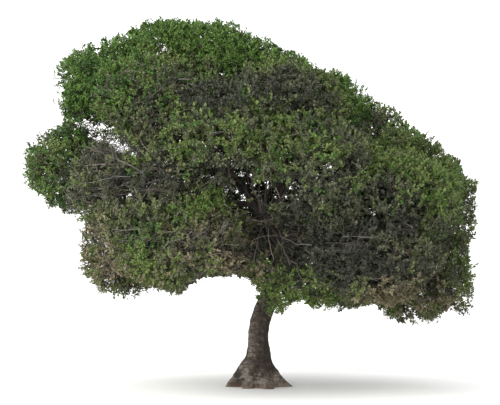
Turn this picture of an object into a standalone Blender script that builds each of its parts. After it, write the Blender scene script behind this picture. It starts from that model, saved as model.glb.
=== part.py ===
"""A litre tree, a broad evergreen tree of dry hillsides, rooted at a flat cut at ground level.

Lengths are metres. +Z is up, +X is to the right in the front view, and -Y is the front.
A leaning trunk with a flared foot forks low down. Its boughs fan out through the hollow
inside of the crown, and each ends where it enters one mass of foliage. A mass is a stem
that goes on from its bough, a core of dense growth, and twigs with sprays of leaves that
stand out of the core. Each mass keeps to its own space, and so does each bough.
"""

import math
import random
from dataclasses import dataclass

import bmesh
import bpy
from mathutils import Vector

# The trunk.
FORK_HEIGHT = 2.45
STEM_RADIUS = 0.165
FORK_SWELL = 0.03
LEAN = 0.55
LEAN_FROM = 0.95
LEAN_POWER = 1.25
SWAY = 0.04
SWAY_TURN = 1.6
TRUNK_SIDES = 18
TRUNK_RINGS = 11
TRUNK_RING_POWER = 1.6
TRUNK_TOP_RISE = 0.08
TRUNK_TOP_SHARE = 0.55

# The flare at the trunk's foot. Each root has its bearing in degrees, its share of the
# flare's reach, and the height over which it dies away.
FLARE_REACH = 0.445
FLARE_POWER = 1.25
FLARE_FLOOR = 0.42
FLARE_HEIGHT = 0.24
ROOTS = (
    (180, 1.0, 0.37),
    (238, 0.80, 0.26),
    (292, 0.92, 0.22),
    (2, 1.0, 0.21),
    (62, 0.78, 0.30),
    (120, 0.86, 0.26),
)
ROOT_WIDTH = 24.0

# The boughs. Each is as thick at its foot as the boughs that it feeds need.
TIP_RADIUS = 0.028
FOOT_PER_TIP = 1.5
TAPER_POWER = 0.75
LEAD_SIDES = 7
LEAD_STEPS = 7
SIDE_SIDES = 6
SIDE_STEPS = 5
LEAVE_SHARE = 0.32
LEAVE_OUT = 0.75
LEAVE_ON = 0.25
LEAVE_UP = 0.14
ARRIVE_SHARE = 0.30
ARRIVE_DOWN = 0.12
TIP_SHARE = 0.90
PARENT_PROBE = 0.1
PATH_ROUNDS = 24
PATH_CLEAR = 0.05
FOOT_FREE = 0.25

# The masses of foliage and the dense core in each.
CROWN_MIDDLE = (-0.1, 0.0, 3.7)
SPACE_GAP = 0.012
LIMB_GAP = 0.015
CORE_LUMPS = 0.12
LUMP_WAVES = (5.1, 4.3, 6.7)
LUMP_SHIFTS = (2.3, 1.7, 3.1)
LOW_LUMPS = 0.6
CORE_EDGE = 0.86
SUNLIT_FROM = 3.45
STEM_SIDES = 5
STEM_SHARE = 0.9
STEM_TAPER = 0.8

# The twigs. Each ends in a leaf, inside a whorl of three more.
TWIGS = 9
TWIG_PLACES = 19
TWIG_OPEN = 0.78
TWIG_OFF_STEM = -0.8
TWIG_FOOT = 0.25
TWIG_RADIUS = 0.026
TWIG_TAPER = 0.7
TWIG_PAST_CORE = (0.036, 0.052)
TWIG_PROBES = (0.4, 0.7, 1.0)
WHORL_DEPTH = 0.07
WHORL_SPLAY = (1.04, 1.62)

# A leaf here stands for a whole spray of the tree's small leaves.
LEAF_LENGTH = 0.52
LEAF_SPREAD = (0.85, 1.05)
LEAF_WIDTH = 0.33
LEAF_LEAST = 0.24
LEAF_THICKNESS = 0.035
LEAF_WIDEST = 0.5
LEAF_STEP = 0.9

# What touching pieces keep between them, and how near points are one point.
CLEARANCE = 0.0003
SAME_POINT = 1e-6

# How many places along a limb are looked at, to find what it meets.
PROBES = 40

# The angles in degrees up to which faces are shaded as one smooth surface.
BARK_CREASE = 50
LEAF_CREASE = 30

GOLDEN_ANGLE = math.pi * (3 - math.sqrt(5))
UP = Vector((0, 0, 1))


@dataclass(frozen=True)
class Mass:
    """One mass of foliage and the bough that carries it."""

    name: str
    middle: tuple
    reach: tuple
    core: float
    springs_from: str
    share: float


# Parents come before what springs from them. A mass that springs from a limb named here
# has its own bough, which leaves that limb at the given share of the limb's length.
MASSES = (
    Mass("top_left", (-1.87, 0.05, 5.72), (0.90, 1.25, 0.90), 0.68, "trunk", 1.00),
    Mass("top_right", (0.17, 0.00, 5.35), (0.90, 1.25, 0.88), 0.68, "trunk", 0.98),
    Mass("right_flank", (3.04, 0.00, 3.42), (0.90, 1.20, 0.98), 0.68, "trunk", 0.93),
    Mass("left_skirt", (-2.50, 0.10, 2.40), (0.82, 1.10, 0.88), 0.68, "trunk", 0.97),
    Mass("right_skirt", (2.05, 0.15, 1.90), (0.88, 1.00, 0.72), 0.67, "trunk", 0.80),
    Mass("front_left", (-2.05, -1.95, 3.38), (1.15, 1.05, 0.90), 0.68, "trunk", 0.95),
    Mass("front_right", (0.85, -2.10, 3.60), (1.10, 1.00, 0.92), 0.68, "trunk", 0.90),
    Mass("back_left", (-2.15, 1.90, 3.60), (1.20, 1.10, 1.00), 0.68, "trunk", 0.96),
    Mass("back_right", (1.15, 2.10, 3.35), (1.15, 1.05, 0.95), 0.68, "trunk", 0.87),
    Mass("top", (-0.79, -0.05, 5.74), (0.88, 1.30, 0.88), 0.68, "top_left", 0.55),
    Mass("upper_left", (-2.88, 0.00, 5.41), (0.86, 1.10, 0.80), 0.68, "top_left", 0.62),
    Mass("left_lobe", (-3.50, 0.05, 3.90), (0.82, 1.10, 0.82), 0.68, "top_left", 0.30),
    Mass("left_inner", (-1.40, 0.10, 2.40), (0.84, 1.05, 0.78), 0.67, "left_skirt", 0.30),
    Mass("right_shoulder", (1.20, 0.00, 4.84), (0.90, 1.30, 0.86), 0.68, "top_right", 0.45),
    Mass("right_upper", (2.15, 0.05, 4.18), (0.90, 1.25, 0.86), 0.68, "right_flank", 0.42),
    Mass("right_low", (3.02, 0.00, 2.02), (0.90, 1.10, 0.92), 0.67, "right_flank", 0.55),
    Mass("front_clump", (-0.55, -2.10, 4.12), (1.02, 1.00, 0.90), 0.70, "front_left", 0.45),
    Mass("front_low_left", (-1.30, -2.00, 2.45), (1.15, 1.05, 0.84), 0.67, "front_left", 0.30),
    Mass("front_low_right", (1.80, -1.90, 2.22), (1.15, 1.05, 0.84), 0.67, "front_right", 0.35),
    Mass("front_far_right", (2.30, -1.60, 3.15), (1.10, 1.05, 0.92), 0.68, "right_flank", 0.30),
    Mass("front_upper_left", (-1.75, -1.35, 4.82), (1.15, 1.00, 0.92), 0.70, "top_left", 0.38),
    Mass("front_upper_right", (0.38, -1.42, 4.70), (1.15, 1.00, 0.90), 0.70, "top_right", 0.34),
    Mass("back_low_left", (-1.35, 2.00, 2.45), (1.20, 1.10, 0.86), 0.67, "back_left", 0.32),
    Mass("back_low_right", (1.75, 1.95, 2.15), (1.20, 1.10, 0.86), 0.67, "back_right", 0.32),
    Mass("back_far_right", (2.50, 1.55, 3.10), (1.10, 1.10, 1.00), 0.68, "right_flank", 0.36),
    Mass("back_mid", (-0.50, 2.20, 3.80), (1.10, 1.00, 0.98), 0.68, "back_left", 0.36),
    Mass("back_upper_left", (-1.60, 1.40, 4.95), (1.20, 1.05, 0.92), 0.70, "top_left", 0.44),
    Mass("back_upper_right", (0.50, 1.45, 4.65), (1.20, 1.05, 0.92), 0.70, "top_right", 0.40),
    Mass("trunk_skirt", (0.68, -1.05, 1.80), (0.80, 0.62, 0.52), 0.68, "trunk", 0.84),
)

# Masses whose stem springs from the trunk itself, with no bough between.
ON_THE_TRUNK = ("trunk_skirt",)


@dataclass
class Limb:
    """A trunk or bough: the points along its axis and the radius at each."""

    name: str
    points: list
    radii: list
    sides: int

    def probes(self):
        """The points and radii at even steps from the limb's foot to its tip."""
        for step in range(PROBES + 1):
            share = step / PROBES
            yield at_share(self.points, share), at_share(self.radii, share)


def at_share(values, share):
    """What lies at a share of the way along a list of evenly spaced values."""
    place = min(max(share, 0.0), 1.0) * (len(values) - 1)
    low = min(int(place), len(values) - 2)
    return values[low] + (values[low + 1] - values[low]) * (place - low)


def trunk_middle(height):
    """The trunk's axis at a height. It stands straight, then leans to the right."""
    risen = max(0.0, height - LEAN_FROM) / (FORK_HEIGHT - LEAN_FROM)
    return Vector((LEAN * risen**LEAN_POWER, SWAY * math.sin(SWAY_TURN * height), height))


def stem_radius(height):
    """The trunk's radius above its flare, which swells towards the fork."""
    return STEM_RADIUS + FORK_SWELL * (height / FORK_HEIGHT) ** 2


def flare(height, bearing):
    """How far the foot flares out past the stem at a height and a bearing in degrees."""
    found = FLARE_FLOOR * math.exp(-((height / FLARE_HEIGHT) ** FLARE_POWER))
    for root, share, rise in ROOTS:
        off = (bearing - root + 180) % 360 - 180
        ridge = share * math.exp(-((off / ROOT_WIDTH) ** 2))
        found = max(found, ridge * math.exp(-((height / rise) ** FLARE_POWER)))
    return FLARE_REACH * found


def trunk_radius(height, bearing):
    """The trunk's radius at a height and a bearing in degrees, with its flared roots."""
    return stem_radius(height) + flare(height, bearing)


def trunk_rings(grow):
    """The trunk's rings from the ground to its domed top, each of them grown by that much."""
    rings = []
    for step in range(TRUNK_RINGS + 1):
        height = FORK_HEIGHT * (step / TRUNK_RINGS) ** TRUNK_RING_POWER
        middle = trunk_middle(height)
        ring = []
        for side in range(TRUNK_SIDES):
            bearing = 360 * side / TRUNK_SIDES
            turn = math.radians(bearing)
            radius = trunk_radius(height, bearing) + grow
            ring.append(middle + radius * Vector((math.cos(turn), math.sin(turn), 0)))
        rings.append(ring)
    top = trunk_middle(FORK_HEIGHT)
    rise = Vector((0, 0, TRUNK_TOP_RISE + grow))
    rings.append([top + (point - top) * TRUNK_TOP_SHARE + rise for point in rings[-1]])
    return rings


def trunk_limb():
    """The trunk as a limb, for what springs from it and what keeps clear of it."""
    heights = [FORK_HEIGHT * step / TRUNK_RINGS for step in range(TRUNK_RINGS + 1)]
    points = [trunk_middle(height) for height in heights]
    radii = [trunk_radius(height, 0) for height in heights]
    return Limb("trunk", points, radii, TRUNK_SIDES)


def ellipsoid_reach(mass, way):
    """How far a mass reaches from its middle in the direction of a unit vector."""
    return 1 / math.sqrt(sum((way[i] / mass.reach[i]) ** 2 for i in range(3)))


def depth_in(mass, point, share=1.0, extra=0.0):
    """How deep a point is in a mass at a share of its reach. It is 1 at the surface there."""
    offset = point - Vector(mass.middle)
    return math.sqrt(sum((offset[i] / (share * mass.reach[i] + extra)) ** 2 for i in range(3)))


def shared_planes(mass):
    """Where the mass's own space ends towards each other mass: a direction and a distance."""
    planes = []
    for other in MASSES:
        if other is mass:
            continue
        between = Vector(other.middle) - Vector(mass.middle)
        apart = between.length
        sizes = (sum(mass.reach) / 3) ** 2 - (sum(other.reach) / 3) ** 2
        planes.append((between / apart, (apart + sizes / apart) / 2 - SPACE_GAP))
    return planes


def own_reach(mass, planes, way):
    """How far the mass's own space reaches in a direction, within its outline."""
    edges = [edge / way.dot(normal) for normal, edge in planes if way.dot(normal) > 0]
    return min([ellipsoid_reach(mass, way), *edges])


def in_own_space(mass, planes, point):
    """Whether a point is inside the mass's outline and its own space."""
    offset = point - Vector(mass.middle)
    return depth_in(mass, point) <= 1 and all(offset.dot(way) <= edge for way, edge in planes)


def core_reach(mass, planes, way):
    """How far the mass's core may reach in a direction."""
    return min(mass.core * ellipsoid_reach(mass, way), CORE_EDGE * own_reach(mass, planes, way))


def distance_to_limb(point, limb):
    """The distance from a point to a limb's surface, which is negative inside it."""
    nearest = math.inf
    for index in range(len(limb.points) - 1):
        start = limb.points[index]
        run = limb.points[index + 1] - start
        share = min(max((point - start).dot(run) / run.length_squared, 0.0), 1.0)
        radius = limb.radii[index] + (limb.radii[index + 1] - limb.radii[index]) * share
        nearest = min(nearest, (point - start - run * share).length - radius)
    return nearest


def carried(name):
    """How many boughs' tips a mass's bough feeds, its own among them."""
    return 1 + sum(carried(mass.name) for mass in MASSES if mass.springs_from == name)


def bezier(corners, share):
    """A point on the cubic curve with four corners."""
    a, b, c, d = corners
    left = 1 - share
    return a * left**3 + b * 3 * left**2 * share + c * 3 * left * share**2 + d * share**3


def pushed_clear(point, radius, others):
    """The point moved out of the masses' cores and away from other limbs."""
    for mass in MASSES:
        depth = depth_in(mass, point, mass.core, radius + PATH_CLEAR)
        if depth < 1:
            middle = Vector(mass.middle)
            point = middle + (point - middle) / depth
    for limb in others:
        gap = distance_to_limb(point, limb) - radius - PATH_CLEAR / 2
        if gap < 0:
            nearest = min(limb.points, key=lambda axis: (axis - point).length)
            point = point - (point - nearest).normalized() * gap
    return point


def bough_curve(mass, parent):
    """The four corners of a bough's curve, from its parent's axis to its tip at the mass."""
    root = at_share(parent.points, mass.share)
    after = at_share(parent.points, mass.share + PARENT_PROBE)
    before = at_share(parent.points, mass.share - PARENT_PROBE)
    middle = Vector(mass.middle)
    inward = ((root - middle).normalized() - UP * ARRIVE_DOWN).normalized()
    tip = middle + inward * TIP_SHARE * own_reach(mass, shared_planes(mass), inward)
    run = (tip - root).length
    out = (tip - root).normalized() * LEAVE_OUT
    leave = (out + (after - before).normalized() * LEAVE_ON + UP * LEAVE_UP).normalized()
    return root, root + leave * run * LEAVE_SHARE, tip + inward * run * ARRIVE_SHARE, tip


def bough_limb(mass, limbs):
    """The bough that carries a mass. It bends round the cores and limbs in its way."""
    parent = limbs[mass.springs_from]
    leads = mass.springs_from == "trunk"
    steps = LEAD_STEPS if leads else SIDE_STEPS
    foot = TIP_RADIUS * FOOT_PER_TIP * math.sqrt(carried(mass.name))
    shares = [step / steps for step in range(steps + 1)]
    radii = [foot + (TIP_RADIUS - foot) * share**TAPER_POWER for share in shares]
    corners = bough_curve(mass, parent)
    points = [bezier(corners, share) for share in shares]
    free_from = FOOT_FREE + (2 * parent.radii[0] if leads else 3 * foot)
    others = [limb for limb in limbs.values() if limb is not parent]
    for turn in range(PATH_ROUNDS):
        for index in range(1, steps - 1):
            smooth = points[index] / 2 + (points[index - 1] + points[index + 1]) / 4
            near = others if (smooth - points[0]).length > free_from else []
            points[index] = pushed_clear(smooth, radii[index], near)
    return Limb(mass.name, points, radii, LEAD_SIDES if leads else SIDE_SIDES)


def ring_frames(points):
    """Two directions across the path at each point, carried along it without twisting."""
    frames = []
    side = None
    for index, point in enumerate(points):
        before = points[max(index - 1, 0)]
        after = points[min(index + 1, len(points) - 1)]
        along = (after - before).normalized()
        if side is None:
            side = along.orthogonal().normalized()
        side = (side - along * side.dot(along)).normalized()
        frames.append((side, along.cross(side)))
    return frames


def tube_rings(points, radii, sides, grow=0.0):
    """Rings round a path. Growing them also moves the two ends out along the path."""
    points = list(points)
    points[0] = points[0] + (points[0] - points[1]).normalized() * grow
    points[-1] = points[-1] + (points[-1] - points[-2]).normalized() * grow
    wider = grow / math.cos(math.pi / sides)
    rings = []
    for point, radius, (side, up) in zip(points, radii, ring_frames(points)):
        ring = []
        for step in range(sides):
            turn = 2 * math.pi * step / sides
            ring.append(point + (side * math.cos(turn) + up * math.sin(turn)) * (radius + wider))
        rings.append(ring)
    return rings


def lofted(name, rings):
    """A closed object through the rings, with a flat cap on each end."""
    sides = len(rings[0])
    bm = bmesh.new()
    made = [[bm.verts.new(point) for point in ring] for ring in rings]
    for low, high in zip(made, made[1:]):
        for side in range(sides):
            after = (side + 1) % sides
            bm.faces.new((low[side], low[after], high[after], high[side]))
    bm.faces.new(list(reversed(made[0])))
    bm.faces.new(made[-1])
    return finished(name, bm)


def finished(name, bm):
    """The built shape as an object in the scene, with its faces turned outwards."""
    bmesh.ops.recalc_face_normals(bm, faces=bm.faces)
    bmesh.ops.triangulate(bm, faces=bm.faces)
    mesh = bpy.data.meshes.new(name)
    bm.to_mesh(mesh)
    bm.free()
    made = bpy.data.objects.new(name, mesh)
    bpy.context.scene.collection.objects.link(made)
    return made


def limb_object(limb, name, grow=0.0):
    """A limb as a solid of its own."""
    if limb.name == "trunk":
        return lofted(name, trunk_rings(grow))
    return lofted(name, tube_rings(limb.points, limb.radii, limb.sides, grow))


def keep_the_body(mesh):
    """Drops every loose scrap and sealed hollow, so that one closed body is left."""
    bm = bmesh.new()
    bm.from_mesh(mesh)
    bmesh.ops.remove_doubles(bm, verts=bm.verts, dist=SAME_POINT)
    bmesh.ops.dissolve_degenerate(bm, edges=bm.edges, dist=SAME_POINT)
    left = set(bm.faces)
    islands = []
    while left:
        edge_of_search = [left.pop()]
        island = list(edge_of_search)
        while edge_of_search:
            face = edge_of_search.pop()
            for edge in face.edges:
                for other in edge.link_faces:
                    if other in left:
                        left.remove(other)
                        island.append(other)
                        edge_of_search.append(other)
        islands.append(island)
    islands.sort(key=lambda island: sum(face.calc_area() for face in island))
    scraps = [face for island in islands[:-1] for face in island]
    bmesh.ops.delete(bm, geom=scraps, context="FACES")
    bmesh.ops.triangulate(bm, faces=bm.faces)
    bm.to_mesh(mesh)
    bm.free()


def applied(made, modifier, used):
    """Applies a Boolean to an object, then removes the objects that it used."""
    graph = bpy.context.evaluated_depsgraph_get()
    mesh = bpy.data.meshes.new_from_object(made.evaluated_get(graph))
    made.modifiers.remove(modifier)
    before = made.data
    made.data = mesh
    bpy.data.meshes.remove(before)
    mesh.name = made.name
    for piece in used:
        bpy.data.objects.remove(piece)
    keep_the_body(mesh)


def carve(made, limbs):
    """Cuts limbs out of an object, with the clearance that touching pieces keep."""
    for limb in limbs:
        cutter = limb_object(limb, "cutter", CLEARANCE)
        cut = made.modifiers.new("seat", "BOOLEAN")
        cut.operation = "DIFFERENCE"
        cut.solver = "EXACT"
        cut.object = cutter
        applied(made, cut, [cutter])


def in_the_way(limb, earlier):
    """The earlier limbs that a limb meets, the one that it springs from among them."""
    found = []
    for other in earlier:
        gap = min(distance_to_limb(point, other) - radius for point, radius in limb.probes())
        if gap < 2 * LIMB_GAP:
            found.append(other)
    return found


def core_object(mass, planes):
    """The dense middle of a mass: a lumpy ball that stays inside the mass's own space."""
    bm = bmesh.new()
    bmesh.ops.create_icosphere(bm, subdivisions=2, radius=1.0)
    middle = Vector(mass.middle)
    for vert in bm.verts:
        way = vert.co.normalized()
        one, two, three = (
            math.sin(wave * along + shift * place)
            for wave, along, shift, place in zip(LUMP_WAVES, way, LUMP_SHIFTS, middle.xzy)
        )
        lump = (one * two + LOW_LUMPS * three) / (1 + LOW_LUMPS)
        wanted = mass.core * ellipsoid_reach(mass, way) * (1 - CORE_LUMPS * (1 + lump))
        vert.co = middle + way * min(wanted, core_reach(mass, planes, way))
    return finished("core", bm)


def twig_places(mass, planes, stem_way):
    """Directions for the mass's twigs, spread evenly over its open side."""
    outward = (Vector(mass.middle) - Vector(CROWN_MIDDLE)).normalized()
    facing = outward.to_track_quat("Z", "Y")
    start = random.Random(mass.name).uniform(0, 2 * math.pi)
    found = []
    for index in range(TWIG_PLACES):
        up = 1 - 2 * index / TWIG_PLACES
        turn = start + index * GOLDEN_ANGLE
        flat = math.sqrt(1 - up * up)
        way = facing @ Vector((flat * math.cos(turn), flat * math.sin(turn), up))
        openness = own_reach(mass, planes, way) / ellipsoid_reach(mass, way)
        if openness > TWIG_OPEN and way.dot(stem_way) > TWIG_OFF_STEM:
            found.append(way)
    return found[:: max(1, round(len(found) / TWIGS))][:TWIGS]


@dataclass
class Leaf:
    """One leaf on a twig: where it leaves, which way it grows and lies, and its length."""

    root: Vector
    out: Vector
    across: Vector
    over: Vector
    length: float

    def corners(self):
        """The leaf's two sides, underside and tip."""
        belly = self.root + self.out * self.length * LEAF_WIDEST
        half = self.across * self.length * LEAF_WIDTH / LEAF_LENGTH / 2
        under = belly - self.over * LEAF_THICKNESS
        return belly + half, belly - half, under, self.root + self.out * self.length

    def fitted(self, mass, planes, limbs):
        """The leaf, shortened until it fits. One that would be too short is left out."""
        while self.length > LEAF_LEAST:
            left, right, under, tip = self.corners()
            halfway = ((left + tip) / 2, (right + tip) / 2, (self.root + tip) / 2)
            if is_clear(mass, planes, (left, right, tip, *halfway), limbs):
                return self
            self.length *= LEAF_STEP
        return None


def grow_leaf(bm, foot, leaf):
    """Grows a leaf from three corners of its twig: two sides and the one below."""
    left, right, under, tip = (bm.verts.new(corner) for corner in leaf.corners())
    belly = (left, right, under)
    for index in range(3):
        after = (index + 1) % 3
        bm.faces.new((foot[index], foot[after], belly[after], belly[index]))
        bm.faces.new((belly[index], belly[after], tip))


def ring_corners(middle, across, over, radius):
    """The three corners of a twig at a point, two of them on its upper side."""
    return [middle + way * radius for way in (across + over / 2, over / 2 - across, -over)]


def twig_object(start, end, across, over, tip_leaf, whorl):
    """A three-sided twig as one solid, with a leaf at its tip and one on each of its sides."""
    bm = bmesh.new()
    low_middle = end - (end - start).normalized() * WHORL_DEPTH
    foot, low, high = (
        [bm.verts.new(corner) for corner in ring_corners(middle, across, over, radius)]
        for middle, radius in (
            (start, TWIG_RADIUS),
            (low_middle, TWIG_RADIUS),
            (end, TWIG_RADIUS * TWIG_TAPER),
        )
    )
    bm.faces.new(foot)
    for index in range(3):
        after = (index + 1) % 3
        bm.faces.new((foot[index], foot[after], low[after], low[index]))
        bm.faces.new((high[index], low[after], low[index]))
        place = (high[index], high[after], low[after])
        if whorl[index]:
            grow_leaf(bm, place, whorl[index])
        else:
            bm.faces.new(place)
    if tip_leaf:
        grow_leaf(bm, high, tip_leaf)
    else:
        bm.faces.new(high)
    return finished("twig", bm)


def whorl_leaf(end, along, across, over, index, chance):
    """The leaf on one of a twig's three sides, splayed outwards with its face to the light."""
    corners = ring_corners(Vector((0, 0, 0)), across, over, 1.0)
    after = (index + 1) % 3
    wide = (corners[index] - corners[after]).normalized()
    side = (corners[index] + corners[after]).normalized()
    side = (side - wide * side.dot(wide)).normalized()
    out = (along + side * chance.uniform(*WHORL_SPLAY)).normalized()
    face = out.cross(wide)
    if face.dot(along) < 0:
        face = -face
    length = LEAF_LENGTH * chance.uniform(*LEAF_SPREAD)
    return Leaf(end - along * WHORL_DEPTH / 3, out, wide, face, length)


def is_clear(mass, planes, points, limbs):
    """Whether all the points are in the mass's own space and off every limb."""
    if not all(in_own_space(mass, planes, point) for point in points):
        return False
    return all(distance_to_limb(point, limb) > LIMB_GAP for limb in limbs for point in points)


def near_limbs(mass, limbs):
    """The limbs that come near enough to a mass for its twigs to meet them."""
    middle = Vector(mass.middle)
    furthest = max(mass.reach) + 2 * LIMB_GAP
    return [limb for limb in limbs.values() if distance_to_limb(middle, limb) < furthest]


def twig_pieces(mass, planes, stem_start, stem_way, limbs):
    """The mass's twigs with their leaves, each twig a solid that starts inside the core."""
    chance = random.Random(mass.name + " twigs")
    middle = Vector(mass.middle)
    pieces = []
    for way in twig_places(mass, planes, stem_way):
        root = middle + (stem_start - middle) * chance.uniform(0.0, TWIG_FOOT)
        end = middle + way * (core_reach(mass, planes, way) + chance.uniform(*TWIG_PAST_CORE))
        along = (end - root).normalized()
        slant = Vector((chance.uniform(-1, 1), chance.uniform(-1, 1), 1))
        across = along.cross(slant).normalized()
        over = across.cross(along)
        path = [root + (end - root) * share for share in TWIG_PROBES]
        if not is_clear(mass, planes, path, limbs):
            continue
        tip_leaf = Leaf(end, along, across, over, LEAF_LENGTH).fitted(mass, planes, limbs)
        whorl = [
            whorl_leaf(end, along, across, over, index, chance).fitted(mass, planes, limbs)
            for index in range(3)
        ]
        if tip_leaf or any(whorl):
            pieces.append(twig_object(root, end, across, over, tip_leaf, whorl))
    return pieces


def stem_line(mass, limbs):
    """Where the mass's stem starts, which way it grows, and its radius."""
    middle = Vector(mass.middle)
    if mass.name in ON_THE_TRUNK:
        start = at_share(limbs["trunk"].points, mass.share)
        return start, (middle - start).normalized(), TIP_RADIUS
    bough = limbs[mass.name]
    way = (bough.points[-1] - bough.points[-2]).normalized()
    return bough.points[-1] + way * CLEARANCE, way, TIP_RADIUS * STEM_SHARE


def unite(made, pieces):
    """Joins loose pieces to an object as one body, with one Boolean union."""
    gathered = bpy.data.collections.new("growth")
    bpy.context.scene.collection.children.link(gathered)
    for piece in pieces:
        bpy.context.scene.collection.objects.unlink(piece)
        gathered.objects.link(piece)
    union = made.modifiers.new("growth", "BOOLEAN")
    union.operation = "UNION"
    union.operand_type = "COLLECTION"
    union.collection = gathered
    union.solver = "EXACT"
    applied(made, union, pieces)
    bpy.data.collections.remove(gathered)


def mass_object(mass, limbs):
    """A whole mass of foliage: its core, stem, twigs and leaves, joined as one body."""
    planes = shared_planes(mass)
    middle = Vector(mass.middle)
    start, way, radius = stem_line(mass, limbs)
    knee = start + way * (middle - start).length / 2
    radii = (radius, radius, radius * STEM_TAPER)
    stem = lofted("stem", tube_rings((start, knee, middle), radii, STEM_SIDES))
    near = near_limbs(mass, limbs)
    made = core_object(mass, planes)
    made.name = "foliage_" + mass.name
    made.data.name = made.name
    unite(made, [stem, *twig_pieces(mass, planes, start, way, near)])
    carve(made, [limb for limb in limbs.values() if enters(limb, mass)])
    return made


def enters(limb, mass):
    """Whether a limb other than the mass's own runs into its core or its stem's foot."""
    if limb.name == "trunk" and mass.name in ON_THE_TRUNK:
        return True
    if limb.name == mass.name:
        return False
    return any(depth_in(mass, point, mass.core, radius) < 1 for point, radius in limb.probes())


def surface(name, colour, roughness):
    """A material with a base colour and a roughness."""
    made = bpy.data.materials.new(name)
    made.use_nodes = True
    shader = made.node_tree.nodes["Principled BSDF"]
    shader.inputs["Base Color"].default_value = (*colour, 1.0)
    shader.inputs["Roughness"].default_value = roughness
    shader.inputs["Metallic"].default_value = 0.0
    return made


def dress(made, material, smooth_angle):
    """Gives an object its material, and smooth shading up to an angle between faces."""
    made.data.materials.clear()
    made.data.materials.append(material)
    made.data.shade_smooth()
    made.data.set_sharp_from_angle(angle=math.radians(smooth_angle))


def main():
    """Builds the tree: the trunk, then its boughs, then the foliage that they carry."""
    for old in list(bpy.data.objects):
        bpy.data.objects.remove(old)
    bark = surface("bark", (0.115, 0.092, 0.075), 0.9)
    young_bark = surface("young_bark", (0.085, 0.072, 0.062), 0.85)
    sunlit = surface("sunlit_leaves", (0.075, 0.115, 0.032), 0.55)
    shaded = surface("shaded_leaves", (0.055, 0.070, 0.030), 0.6)

    limbs = {"trunk": trunk_limb()}
    dress(limb_object(limbs["trunk"], "trunk"), bark, BARK_CREASE)
    for mass in MASSES:
        if mass.name in ON_THE_TRUNK:
            continue
        limb = bough_limb(mass, limbs)
        made = limb_object(limb, "bough_" + mass.name)
        carve(made, in_the_way(limb, limbs.values()))
        dress(made, young_bark, BARK_CREASE)
        limbs[mass.name] = limb
    for mass in MASSES:
        leaves = sunlit if mass.middle[2] > SUNLIT_FROM else shaded
        dress(mass_object(mass, limbs), leaves, LEAF_CREASE)


main()
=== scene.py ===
"""The looks of a litre tree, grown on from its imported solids.

Lengths are metres. +Z is up, +X is to the right in the front view, and -Y is the front.
The trunk and boughs are one skin of mottled grey bark over the same axes as the solids.
From each bough's tip the solids' rule is carried on to branches, twigs, sprays and single
leaves, which keep to the same masses of foliage.
"""

import logging
import math
from collections.abc import Mapping, Sequence
from dataclasses import astuple, dataclass, field
from enum import Enum
from typing import Any, Union

import bmesh
import bpy
import numpy as np
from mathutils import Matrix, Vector


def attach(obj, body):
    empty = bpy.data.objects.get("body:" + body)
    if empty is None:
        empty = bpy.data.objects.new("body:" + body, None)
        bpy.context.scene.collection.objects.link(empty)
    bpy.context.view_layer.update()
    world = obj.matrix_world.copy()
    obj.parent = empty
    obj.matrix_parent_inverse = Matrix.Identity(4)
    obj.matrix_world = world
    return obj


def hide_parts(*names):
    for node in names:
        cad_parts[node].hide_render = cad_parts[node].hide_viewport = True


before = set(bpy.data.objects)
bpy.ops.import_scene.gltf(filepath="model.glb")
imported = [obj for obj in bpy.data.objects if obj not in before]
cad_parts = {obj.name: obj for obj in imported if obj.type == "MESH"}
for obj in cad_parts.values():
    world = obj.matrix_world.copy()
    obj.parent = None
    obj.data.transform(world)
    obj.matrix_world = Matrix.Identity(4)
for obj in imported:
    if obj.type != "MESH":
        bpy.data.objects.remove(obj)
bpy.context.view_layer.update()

LOG = logging.getLogger("litre_tree")

Array = np.ndarray
Colour = tuple[float, float, float]
Place = tuple[float, float, float]
Pair = tuple[float, float]
GOLDEN_ANGLE = math.pi * (3 - math.sqrt(5))
UP = np.array((0.0, 0.0, 1.0))
ACROSS = np.array((1.0, 0.0, 0.0))


def unit(vectors: Array) -> Array:
    """Vectors scaled to a length of one."""
    return vectors / np.maximum(np.linalg.norm(vectors, axis=-1, keepdims=True), 1e-9)


def dots(one: Array, other: Array) -> Array:
    """The dot product of each pair of vectors."""
    return np.sum(one * other, axis=-1)


def joined(*corners: Array) -> Array:
    """Rows made of one number from each array, all spread to the same shape."""
    return np.stack(np.broadcast_arrays(*corners), axis=-1)


def spokes(side: Array, over: Array, turns: Array) -> Array:
    """Vectors round each axis: a turn of 0 is its side and a quarter turn is its over."""
    return side[..., None, :] * np.cos(turns)[..., None] + over[..., None, :] * np.sin(turns)[..., None]


def bend(t: Array, first: Array, knee: Array, last: Array) -> Array:
    """The points at shares t of a curve from one point to another, drawn towards a knee."""
    return first * (1 - t) ** 2 + knee * 2 * t * (1 - t) + last * t**2


def sweep(t: Array, first: Array, leave: Array, arrive: Array, last: Array) -> Array:
    """The points at shares t of a curve that leaves towards one point and arrives from another."""
    return first * (1 - t) ** 3 + leave * 3 * (1 - t) ** 2 * t + arrive * 3 * (1 - t) * t**2 + last * t**3


def rise(values: Array, start: float, run: float) -> Array:
    """0 up to a start, 1 from a run past it, and even in between."""
    return np.clip((values - start) / run, 0, 1)


def hump(away: Array) -> Array:
    """1 at zero, falling smoothly on both sides to next to nothing past 2."""
    return np.exp(-(away**2))


def off_bearing(bearings: Array, bearing: float) -> Array:
    """How far each bearing is from one bearing, in degrees from -180 to 180."""
    return (bearings - bearing + 180) % 360 - 180


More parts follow.
